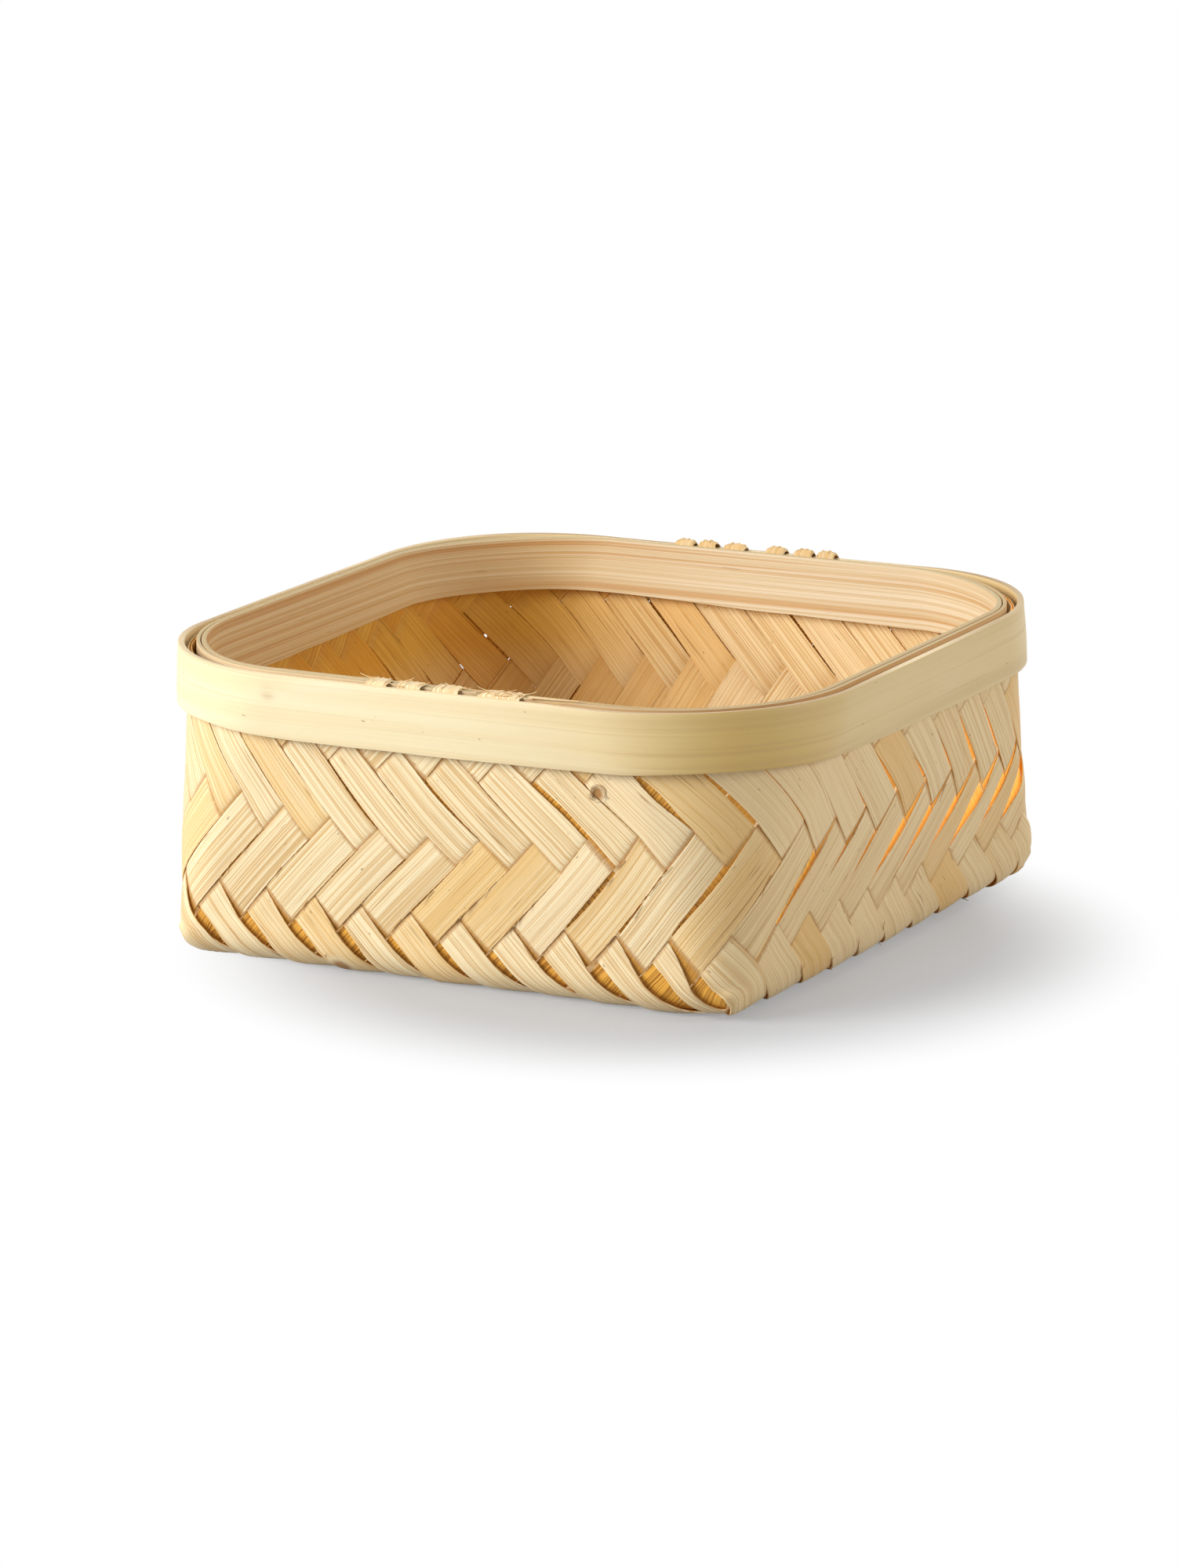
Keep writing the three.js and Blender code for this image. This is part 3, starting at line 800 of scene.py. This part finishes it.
class Shader:
    """The nodes of a material or world, and the few ways in which they are made."""

    def __init__(self, owner):
        owner.use_nodes = True
        self.owner = owner
        self.tree = owner.node_tree

    def node(self, kind, settings, inputs, output=0):
        node = self.tree.nodes.new(kind)
        for name, value in settings.items():
            if name == "stops":
                self.set_stops(node.color_ramp, value)
            else:
                setattr(node, name, value)
        for name, value in inputs.items():
            self.feed(node.inputs[name], value)
        return Number(self, node.outputs[output])

    def set_stops(self, ramp, stops):
        while len(ramp.elements) < len(stops):
            ramp.elements.new(0.5)
        for element, (place, colour) in zip(ramp.elements, stops):
            element.position = place
            element.color = (*colour, 1)

    def feed(self, socket, value):
        if isinstance(value, Number):
            self.tree.links.new(value.socket, socket)
        elif hasattr(value, "__len__") and len(value) == 3 and socket.type == "RGBA":
            socket.default_value = (*value, 1)
        else:
            socket.default_value = value

    def sum(self, operation, first, second):
        return self.node("ShaderNodeMath", {"operation": operation}, {0: first, 1: second})

    def step(self, value, low, high):
        """0 below low, 1 above high, and smooth between."""
        inputs = {"Value": value, "From Min": low, "From Max": high}
        return self.node("ShaderNodeMapRange", {"interpolation_type": "SMOOTHSTEP"}, inputs)

    def mix(self, first, second, factor, blend="MIX"):
        settings = {"data_type": "RGBA", "blend_type": blend}
        return self.node("ShaderNodeMix", settings, {0: factor, 6: first, 7: second}, 2)

    def attribute(self, name):
        return self.node("ShaderNodeAttribute", {"attribute_name": name}, {}, "Fac")

    def noise(self, place, scale, detail, roughness):
        spread = self.node("ShaderNodeMapping", {}, {"Vector": place, "Scale": scale})
        inputs = {"Vector": spread, "Scale": 1.0, "Detail": detail, "Roughness": roughness}
        return self.node("ShaderNodeTexNoise", {}, inputs)

    def grain(self, lengthwise, crosswise, detail, roughness=0.5):
        """Noise along a strip, by its scale both ways."""
        layout = self.node("ShaderNodeUVMap", {}, {})
        return self.noise(layout, (lengthwise, crosswise, 1), detail, roughness)

    def place(self):
        return self.node("ShaderNodeTexCoord", {}, {}, "Object")

    def distance(self, middle):
        """Distance in metres from a point that is given in millimetres."""
        inputs = {0: self.place(), 1: tuple(middle * MM)}
        return self.node("ShaderNodeVectorMath", {"operation": "DISTANCE"}, inputs, "Value")

    def bump(self, height, distance, strength):
        inputs = {"Height": height, "Distance": distance, "Strength": strength}
        return self.node("ShaderNodeBump", {}, inputs)

    def set(self, **values):
        surface = self.tree.nodes["Principled BSDF"]
        for name, value in values.items():
            self.feed(surface.inputs[name.replace("_", " ").title()], value)


def add_knot(shader, body):
    """The dark frayed knot, and the chip in the edge of the base, on the outer faces."""
    outward = 1 - shader.attribute("inward")
    ragged = shader.noise(shader.place(), (1500, 1500, 1500), 2.0, 0.5) * 0.0012
    for (along, up), size in ((KNOT, KNOT_SIZE), (CHIP, CHIP_SIZE)):
        distance = shader.distance(woven_point(FRONT_WALL, along, up, HALF_WEAVE)) + ragged
        pale = 1 - shader.step(distance, size * 1.2 * MM, size * 2.0 * MM)
        body = shader.mix(body, (0.96, 0.84, 0.58), pale * outward * 0.5)
        dark = 1 - shader.step(distance, size * 0.7 * MM, size * 1.5 * MM)
        body = shader.mix(body, (0.36, 0.15, 0.02), dark * outward * 0.9)
    return body


def split_bamboo(name):
    """Split bamboo: cream fibres with honey ones between them, drawn along the splint, with painted
    shade and a painted amber glow.
    """
    shader = Shader(bpy.data.materials.new(name))
    tone = shader.attribute("tone")
    inward = shader.attribute("inward")
    broad = shader.grain(3, 900, 1.0)
    ribs = shader.grain(5, 1700, 1.0)
    fine = shader.grain(14, 3400, 1.0)
    cloudy = shader.grain(24, 90, 2.0)
    lines = shader.step(ribs * 0.5 + broad * 0.25 + fine * 0.25, 0.40, 0.58)
    calm = shader.attribute("calm")
    lines = lines * (1 - calm) + calm * 0.85
    body = shader.mix((0.70, 0.46, 0.20), (0.95, 0.79, 0.50), lines)
    honey = shader.step(tone + (cloudy - 0.5) * 0.35, 0.58, 0.95)
    body = shader.mix(body, (0.86, 0.54, 0.18), honey * 0.6)
    ashen = shader.step(1 - tone + (cloudy - 0.5) * 0.4, 0.55, 1.0)
    body = shader.mix(body, (0.98, 0.79, 0.50), ashen * 0.5)
    pores = shader.step(shader.grain(30, 2600, 1.0), 0.66, 0.74)
    body = shader.mix(body, (0.36, 0.18, 0.06), pores * 0.5)
    specks = shader.step(shader.grain(260, 900, 1.0), 0.74, 0.80)
    body = shader.mix(body, (0.25, 0.12, 0.05), specks * 0.7)
    split = shader.grain(7, 420, 1.0) - 0.5
    crack = 1 - shader.step(split * split, 0.0, 0.00006)
    body = shader.mix(body, (0.38, 0.19, 0.05), crack * shader.step(cloudy, 0.45, 0.6) * 0.6)
    # Painted shade: warmer and darker inside the basket, most on the left and low down, and on the
    # right wall's outside; the fibres take a little of this warmth evenly
    body = shader.mix(body, (0.73, 0.50, 0.13), shader.attribute("warm"), "MULTIPLY")
    # Painted amber light and shade on the faces turned away from the run's side: the outer faces of
    # inner runs, seen through the gaps, and the inner faces of outer runs, seen inside the basket
    under = shader.step((inward - 0.5) * shader.attribute("side"), 0.0, 0.3)
    glow = shader.mix((0.32, 0.11, 0.005), (0.86, 0.43, 0.05), lines)
    body = shader.mix(body, glow, under * 0.95)
    # Painted shade beside the dives, weaker on the inner faces; the bindings and some fibres take
    # this darkening evenly
    shade = shader.step(shader.attribute("tuck") * (0.4 + 1.2 * ribs), 0.3, 0.9)
    body = shader.mix(body, (0.42, 0.19, 0.04), shade * (0.7 - 0.5 * inward))
    body = add_knot(shader, body)
    relief = ribs * 0.6 + broad * 0.4
    # Painted glow, as if light shone through the thin bamboo, on the outer faces of inner runs,
    # strongest high in the right wall's openings
    lit = 0.07 + shader.attribute("lit") * 0.52
    through = shader.mix((0, 0, 0), (1.0, 0.52, 0.10), under * (1 - inward) * lit)
    shader.set(base_color=body, roughness=0.6 - 0.15 * lines)
    shader.set(normal=shader.bump(relief, 0.0004, 0.6))
    shader.set(emission_color=through, emission_strength=1.0)
    shader.feed(shader.tree.nodes["Principled BSDF"].inputs["Specular IOR Level"], 0.25)
    return shader.owner


def rim_lath(name):
    """The inner laths: pinkish beige, with strong amber and white lines along them."""
    shader = Shader(bpy.data.materials.new(name))
    broad = shader.grain(2, 450, 2.0)
    lines = shader.grain(3, 1000, 2.0)
    body = shader.mix((0.64, 0.40, 0.18), (0.74, 0.59, 0.37), shader.step(broad, 0.36, 0.52))
    body = shader.mix(body, (0.84, 0.73, 0.55), shader.step(lines, 0.50, 0.62) * 0.7)
    body = shader.mix(body, (0.58, 0.33, 0.11), shader.step(lines, 0.44, 0.34) * 0.5)
    flecks = shader.step(shader.grain(60, 900, 2.0), 0.70, 0.78)
    body = shader.mix(body, (0.34, 0.17, 0.07), flecks * 0.5)
    body = shader.mix(body, (0.72, 0.55, 0.33), shader.attribute("tone"), "MULTIPLY")
    # Painted shade: the inner laths warmer and darker inside, most on the left and low down
    body = shader.mix(body, (0.89, 0.83, 0.71), shader.attribute("warm"), "MULTIPLY")
    skin = shader.step(shader.attribute("cut") * (0.5 + broad), 0.5, 0.9)
    body = shader.mix(body, (0.42, 0.33, 0.14), skin * 0.55)
    shader.set(base_color=body, roughness=0.5 + 0.15 * lines)
    shader.set(normal=shader.bump(lines * 0.5 + broad * 0.5, 0.0005, 1.0))
    return shader.owner


def bamboo_skin(name):
    """The smooth outer skin of a culm, with faint lengthwise lines, scuffs and stains."""
    shader = Shader(bpy.data.materials.new(name))
    tone = shader.attribute("tone")
    lines = shader.grain(4, 900, 3.0, 0.6)
    bands = shader.grain(1.5, 150, 2.0)
    clouds = shader.grain(14, 60, 3.0)
    body = shader.mix((0.86, 0.69, 0.39), (0.91, 0.78, 0.50), shader.step(bands, 0.3, 0.65))
    body = shader.mix(body, (0.76, 0.60, 0.33), shader.step(lines, 0.56, 0.75) * 0.5)
    body = shader.mix(body, (0.93, 0.84, 0.62), shader.step(clouds, 0.5, 0.75) * 0.5)
    # Olive: partly the lath's own colour, partly painted shade, strongest at the near corner and on
    # the right wall
    olive = shader.mix((0.52, 0.31, 0.06), (0.62, 0.39, 0.08), shader.step(bands, 0.35, 0.6))
    body = shader.mix(body, olive, tone * (0.7 + 0.3 * clouds))
    streak = shader.step(shader.grain(5, 500, 2.0) + tone * 0.05, 0.62, 0.74)
    body = shader.mix(body, (0.55, 0.36, 0.14), streak * 0.35)
    scuffs = shader.step(shader.grain(70, 420, 4.0, 0.65), 0.68, 0.76)
    body = shader.mix(body, (0.45, 0.33, 0.20), scuffs * 0.45)
    specks = shader.step(shader.grain(300, 700, 1.0), 0.75, 0.80)
    body = shader.mix(body, (0.32, 0.18, 0.08), specks * 0.7)
    for along, up, size in STAINS:
        middle = woven_point(FRONT_WALL, along, up, HOOP_NEAR + OUTER_HOOP_THICKNESS)
        near = 1 - shader.step(shader.distance(middle), 0.0, size * MM)
        stain = near * shader.step(bands + lines, 0.8, 1.15)
        body = shader.mix(body, (0.52, 0.34, 0.14), stain * 0.55)
    fibrous = shader.mix((0.42, 0.26, 0.10), (0.86, 0.68, 0.40), shader.step(lines, 0.4, 0.6))
    body = shader.mix(body, fibrous, shader.attribute("cut"))
    shader.set(base_color=body, roughness=0.38 + 0.12 * clouds)
    shader.set(normal=shader.bump(lines, 0.00012, 0.8))
    return shader.owner


# The laths of the rim
def hoop_shape(near, thickness, sign, columns):
    """Start and end of a lath, and a function that gives its inner and outer depth along it."""
    middle = sum(columns) / len(columns)
    start = sign * middle * LEVEL_RISE - LAP_LENGTH / 2
    end = start + GIRTH + LAP_LENGTH
    body = thickness - LAP_TIP

    def depths(along):
        local = along - WALL_LENGTH * np.round(along / WALL_LENGTH)
        to_corner = smooth((np.abs(local) / BASE_HALF - OPENING_START) / (1 - OPENING_START))
        foot = near + CORNER_OPENING * to_corner
        start_share = np.minimum(1, (along - start) / LAP_LENGTH)
        end_share = np.minimum(1, (end - along) / LAP_LENGTH)
        inside = foot + (1 - end_share) * (body + LAP_GAP)
        outside = foot + LAP_TIP + body * start_share + (1 - end_share) * LAP_GAP
        return inside, outside

    return start, end, depths


def make_hoop(name, node, near, thickness, sign, columns, half_turn, material, slot, crown,
              foot_rise, tones):
    start, end, depths = hoop_shape(near, thickness, sign, columns)
    strip = flat_strip(name, int((end - start) / HOOP_STEP), HOOP_COLUMNS)
    flat = read_points(strip)
    along = start + (flat[:, 0] + 1) / 2 * (end - start)
    across = flat[:, 1]
    inside, outside = depths(along)
    turned_by = PLACES_PER_WALL * half_turn / QUARTER_TURN
    place = PLACES_PER_WALL * along / WALL_LENGTH + turned_by
    foot = RIM_LOW + around(place, foot_rise) + wobble(along, 900 + len(name), FOOT_WAVER)
    up = RIM_TOP + (foot - RIM_TOP) * (1 - across) / 2
    depth = (inside + outside) / 2 - crown * across**2
    points = offset_point(along, up, sign * depth)
    write_points(strip, settle(turned(points, half_turn)))
    write_layout(strip, along, up + LATH_STEP * len(name))
    write_attributes(strip, tone=np.clip(around(place, tones), 0, 1))
    group = strip.vertex_groups.new(name="thickness")
    for index, share in enumerate((outside - inside) / thickness):
        group.add([index], float(share), "REPLACE")
    thicken(strip, thickness, vertex_group="thickness")
    bevel(strip, HOOP_BEVEL, 3)
    write_facing(strip)
    strip.vertex_groups.clear()
    finish_piece(strip, material, slot, node)


# The bindings
def hole_level(column):
    level = math.floor((RIM_LOW - BINDING_REACH) / LEVEL_RISE)
    crossing_here = (column + level + SPLINTS_PER_SIDE - 1) % 2 == 0
    return level + 1 if crossing_here else level


def binding_route(turns, hoop_face, rise):
    """Stops of a binding: place along the rim, height, depth and width."""
    face = hoop_face + BINDING_REACH
    flush = HALF_WEAVE + BINDING_REACH
    route = []
    for index, (column, shift, width) in enumerate(turns):
        along = column * LEVEL_RISE + shift
        hole = hole_level(column) * LEVEL_RISE
        foot = min(hole, RIM_LOW - BINDING_REACH)
        if index > 0:
            route.append((along, foot, face, width))
        if hole > foot + BINDING_FLARE:
            route.append((along, foot, flush, width))
            route.append((along, hole - BINDING_FLARE, flush, width))
        route.append((along, hole, flush, BINDING_PINCH))
        route.append((along, hole, -flush, BINDING_PINCH))
        route.append((along, hole + BINDING_FLARE, -flush, width))
        route.append((along, RIM_TOP + BINDING_REACH, -flush, width))
        crest = RIM_TOP + BINDING_REACH + BINDING_CROWN * rise
        route.append((along, crest, (face - flush) / 2, width))
        route.append((along, RIM_TOP + BINDING_REACH, face, width))
    route.append((along, RIM_TOP - BINDING_FLARE, face + BINDING_OVERLAP, width))
    route.append((along, RIM_LOW + BINDING_REACH, face + BINDING_OVERLAP, width))
    return np.array(route)


def rounded(route, rounds=2):
    """Cuts the corners of a route, so that a stiff strip follows it."""
    for _ in range(rounds):
        first, second = route[:-1], route[1:]
        inner = np.empty((2 * len(first), route.shape[1]))
        inner[0::2] = first * (1 - BINDING_CUT_SHARE) + second * BINDING_CUT_SHARE
        inner[1::2] = first * BINDING_CUT_SHARE + second * (1 - BINDING_CUT_SHARE)
        route = np.concatenate([route[:1], inner, route[-1:]])
    return route


def make_binding(name, node, turns, hoop_face, sign, half_turn, look, material):
    tone, tuck, rise = look
    route = rounded(binding_route(turns, hoop_face, rise))
    strides = np.linalg.norm(np.diff(route[:, :3], axis=0), axis=1)
    travelled = np.concatenate([[0], np.cumsum(strides)])
    strip = flat_strip(name, int(travelled[-1] / BINDING_STEP), BINDING_COLUMNS)
    flat = read_points(strip)
    place = (flat[:, 0] + 1) / 2 * travelled[-1]
    across = flat[:, 1]
    along, up, depth, width = (np.interp(place, travelled, route[:, k]) for k in range(4))
    along = along + across * width / 2 * (1 + wobble(place, 61, BINDING_WIDTH_WAVER))
    along = along + wobble(place, 62, BINDING_PATH_WAVER)
    threads = np.abs(np.sin(across * width * QUARTER_TURN / THREAD_WIDTH))
    crest, fall = BINDING_DOME
    domed = crest - fall * np.abs(across) ** 3 + wobble(place, 64, BINDING_DOME_WAVER)
    wrinkles = THREAD_RISE * threads + wobble(across * width, 63, THREAD_WAVER)
    up = up + np.where(up > RIM_TOP, wrinkles + domed * rise, 0)
    points = offset_point(sign * along, up, sign * depth)
    write_points(strip, settle(turned(points, half_turn)))
    write_layout(strip, place, across * width / 2)
    write_attributes(strip, tone=tone, tuck=tuck, side=0, inward=0, warm=0, lit=0)
    thicken(strip, BINDING_THICKNESS)
    finish_piece(strip, material, "bindings", node)


# Loose fibres
def fibre_on_float(splint, draw):
    """A fibre that stands off the edge of an outer float."""
    outer = []
    for start, stop, outside in splint.floats:
        if outside > 0 and 0 < splint.level((start + stop) / 2, splint.v) < HIGHEST_FIBRE:
            outer.append((start, stop))
    start, stop = outer[draw.integers(len(outer))]
    length = draw.uniform(*FIBRE_LENGTHS)
    first = draw.uniform(start + 1, stop - length)
    side = draw.choice((-FIBRE_EDGE, FIBRE_EDGE))
    lift = draw.uniform(*FIBRE_LIFTS)
    sideways = draw.uniform(0, FIBRE_SPREAD) * side

    def shape(share, across):
        u = first + length * share
        q = np.full(u.shape, side)
        half_width = across * FIBRE_WIDTH / 2 * (1 - FIBRE_TAPER * share)
        v = splint.across(u, q) + sideways * share**2 + half_width
        return splint.place(u, v, q, FIBRE_FOOT + lift * share**2)

    return shape


def fibre_on_rim(along, length, depth, rise, width):
    """A frayed end of the front binding, on top of the rim."""

    def shape(share, across):
        up = RIM_TOP + RIM_FIBRE_FOOT + rise * share**2
        across_rim = depth + across * width / 2 * (1 - CURL_TAPER * share)
        points = offset_point(along + length * share, up, across_rim)
        return settle(turned(points, math.pi))

    return shape


def fibre_in_front(middle, angle, sweep, radius, lift, width):
    """A short curl around a place in the front wall."""

    def shape(share, across):
        turn = angle + sweep * share
        reach = radius + across * width / 2 * (1 - CURL_TAPER * share)
        along = middle[0] + reach * np.cos(turn)
        up = middle[1] + reach * np.sin(turn)
        return woven_point(FRONT_WALL, along, up, HALF_WEAVE + CURL_FOOT + lift * share)

    return shape


def make_fibres(splints, material):
    draw = np.random.default_rng(FIBRE_SEED)
    shapes = []
    for _ in range(FLOAT_FIBRES):
        shapes.append(fibre_on_float(splints[draw.integers(len(splints))], draw))
    for _ in range(RIM_FIBRES):
        way = draw.choice((-1, 1))
        length, place, depth, rise = (draw.uniform(*ends) for ends in RIM_FIBRE_RANGES)
        shapes.append(fibre_on_rim(place, way * length, depth, rise, RIM_FIBRE_WIDTH))
    shapes.append(fibre_on_rim(*LOOSE_END))
    for _ in range(KNOT_FIBRES):
        angle, sweep, size, lift = (draw.uniform(*ends) for ends in CURL_RANGES)
        shapes.append(fibre_in_front(KNOT, angle, sweep, KNOT_SIZE * size, lift, CURL_WIDTH))
    shapes.append(fibre_in_front(CHIP, *SHAVING))
    strips = []
    for number, shape in enumerate(shapes):
        strip = flat_strip("fibre", FIBRE_STEPS, FIBRE_COLUMNS)
        flat = read_points(strip)
        share = (flat[:, 0] + 1) / 2
        write_points(strip, shape(share, flat[:, 1]))
        write_layout(strip, share * 6 + 11 * number, flat[:, 1] + 5 * number)
        tuck = 0.9 * chance(number) ** 3
        write_attributes(strip, tone=chance(number), tuck=tuck, side=0, lit=0)
        strips.append(strip)
    activate(strips[0])
    for strip in strips:
        strip.select_set(True)
    bpy.ops.object.join()
    fibres = strips[0]
    fibres.name = "loose_fibres"
    write_attributes(fibres, inward=0.0, warm=FIBRE_WARMTH)
    thicken(fibres, FIBRE_THICKNESS)
    finish_piece(fibres, material, "splints")


# Camera, floor and light
def add_camera():
    back = Vector((
        math.sin(VIEW_AZIMUTH) * math.cos(VIEW_ELEVATION),
        -math.cos(VIEW_AZIMUTH) * math.cos(VIEW_ELEVATION),
        math.sin(VIEW_ELEVATION),
    ))
    level = Vector((math.cos(VIEW_AZIMUTH), math.sin(VIEW_AZIMUTH), 0))
    upright = back.cross(level)
    right = level * math.cos(VIEW_ROLL) + upright * math.sin(VIEW_ROLL)
    top = upright * math.cos(VIEW_ROLL) - level * math.sin(VIEW_ROLL)
    target = VIEW_CENTRE + right * VIEW_OFFSET[0] + top * VIEW_OFFSET[1]
    lens = bpy.data.cameras.new("camera")
    lens.sensor_width = SENSOR
    lens.lens = FOCAL_PIXELS / PHOTO_HEIGHT * SENSOR
    lens.clip_end = VIEW_END
    camera = bpy.data.objects.new("camera", lens)
    bpy.context.scene.collection.objects.link(camera)
    axes = Matrix((right, top, back)).transposed().to_4x4()
    camera.matrix_world = Matrix.Translation(target + back * VIEW_DISTANCE) @ axes
    bpy.context.scene.camera = camera


def seen_directly(shader):
    """1 for what the camera sees itself, or through gloss or glass, and 0 for other light."""
    seen = 0
    for kind in ("Glossy", "Transmission", "Camera"):
        ray = shader.node("ShaderNodeLightPath", {}, {}, f"Is {kind} Ray")
        seen = shader.sum("MAXIMUM", seen, ray)
    return seen


def add_floor():
    shader = Shader(bpy.data.materials.new("pale_floor"))
    shader.set(base_color=FLOOR_SHADOW_GREY, roughness=0.9)
    shift = [-middle / size for middle, size in zip(FLOOR_GLOW_MIDDLE, FLOOR_GLOW_SIZE)]
    scale = [1 / size for size in FLOOR_GLOW_SIZE]
    inputs = {"Vector": shader.place(), "Location": (*shift, 0), "Scale": (*scale, 1)}
    spread = shader.node("ShaderNodeMapping", {}, inputs)
    distance = shader.node("ShaderNodeVectorMath", {"operation": "LENGTH"}, {0: spread}, "Value")
    # Painted shadow: near the middle the floor stays grey, and further off it lightens to white for
    # direct view
    outer = shader.step(distance, FLOOR_GLOW_START, FLOOR_GLOW_END)
    lightening = FLOOR_GLOW_NEAR + (1 - FLOOR_GLOW_NEAR) * outer
    glow = shader.node("ShaderNodeEmission", {}, {"Color": WHITE})
    plain = Number(shader, shader.tree.nodes["Principled BSDF"].outputs[0])
    inputs = {0: seen_directly(shader) * lightening, 1: plain, 2: glow}
    blend = shader.node("ShaderNodeMixShader", {}, inputs)
    shader.feed(shader.tree.nodes["Material Output"].inputs["Surface"], blend)
    bpy.ops.object.select_all(action="DESELECT")
    bpy.ops.mesh.primitive_plane_add(size=FLOOR_SIZE)
    floor = bpy.context.active_object
    floor.name = "floor"
    floor.data.materials.append(shader.owner)


def add_world():
    shader = Shader(bpy.data.worlds.new("studio"))
    bpy.context.scene.world = shader.owner
    inputs = {0: seen_directly(shader), 2: AMBIENT, 3: 1.0}
    background = shader.tree.nodes["Background"]
    shader.feed(background.inputs["Color"], WHITE)
    shader.feed(background.inputs["Strength"], shader.node("ShaderNodeMix", {}, inputs))


def add_lamp(name, toward, distance, size, power):
    lamp = bpy.data.lights.new(name, "AREA")
    lamp.shape = "DISK"
    lamp.size = size
    lamp.energy = power
    holder = bpy.data.objects.new(name, lamp)
    bpy.context.scene.collection.objects.link(holder)
    direction = Vector(toward).normalized()
    holder.location = VIEW_CENTRE + direction * distance
    holder.rotation_euler = direction.to_track_quat("Z", "Y").to_euler()


def build():
    bpy.context.scene.view_settings.view_transform = "Standard"
    add_camera()
    add_floor()
    add_world()
    for lamp in LAMPS:
        add_lamp(*lamp)
    bamboo = split_bamboo("split_bamboo")
    lath = rim_lath("rim_lath")
    skin = bamboo_skin("bamboo_skin")
    splints = [Splint(turn, order) for turn in range(4) for order in range(1, SPLINTS_PER_SIDE + 1)]
    for splint in splints:
        make_splint(splint, bamboo)
    make_fibres(splints, bamboo)
    inner_near = HOOP_NEAR + BACKING_THICKNESS + LAP_GAP + PLY_GAP
    make_hoop("outer_lath", "outer_hoop", HOOP_NEAR, OUTER_HOOP_THICKNESS, 1, BACK_TURNS, 0,
              skin, "outer_hoop", HOOP_CROWN, OUTER_FOOT_RISE, OUTER_OLIVE_AND_SHADE)
    inner = (-1, FRONT_TURNS, math.pi, lath, "inner_laths", 0.0, INNER_FOOT_RISE, INNER_TONES)
    make_hoop("backing_lath", "backing_hoop", HOOP_NEAR, BACKING_THICKNESS, *inner)
    make_hoop("inner_lath", "inner_hoop", inner_near, INNER_HOOP_THICKNESS, *inner)
    outer_face = HOOP_NEAR + OUTER_HOOP_THICKNESS + LAP_GAP
    inner_face = inner_near + INNER_HOOP_THICKNESS + LAP_GAP
    back_turns = list(zip(BACK_TURNS, BACK_SHIFTS, BACK_WIDTHS))
    front_turns = list(zip(FRONT_TURNS, FRONT_SHIFTS, FRONT_WIDTHS))
    make_binding("back_wraps", "back_binding", back_turns, outer_face, 1, 0, BACK_LOOK, bamboo)
    make_binding("front_wraps", "front_binding", front_turns, inner_face, -1, math.pi, FRONT_LOOK,
                 bamboo)


build()
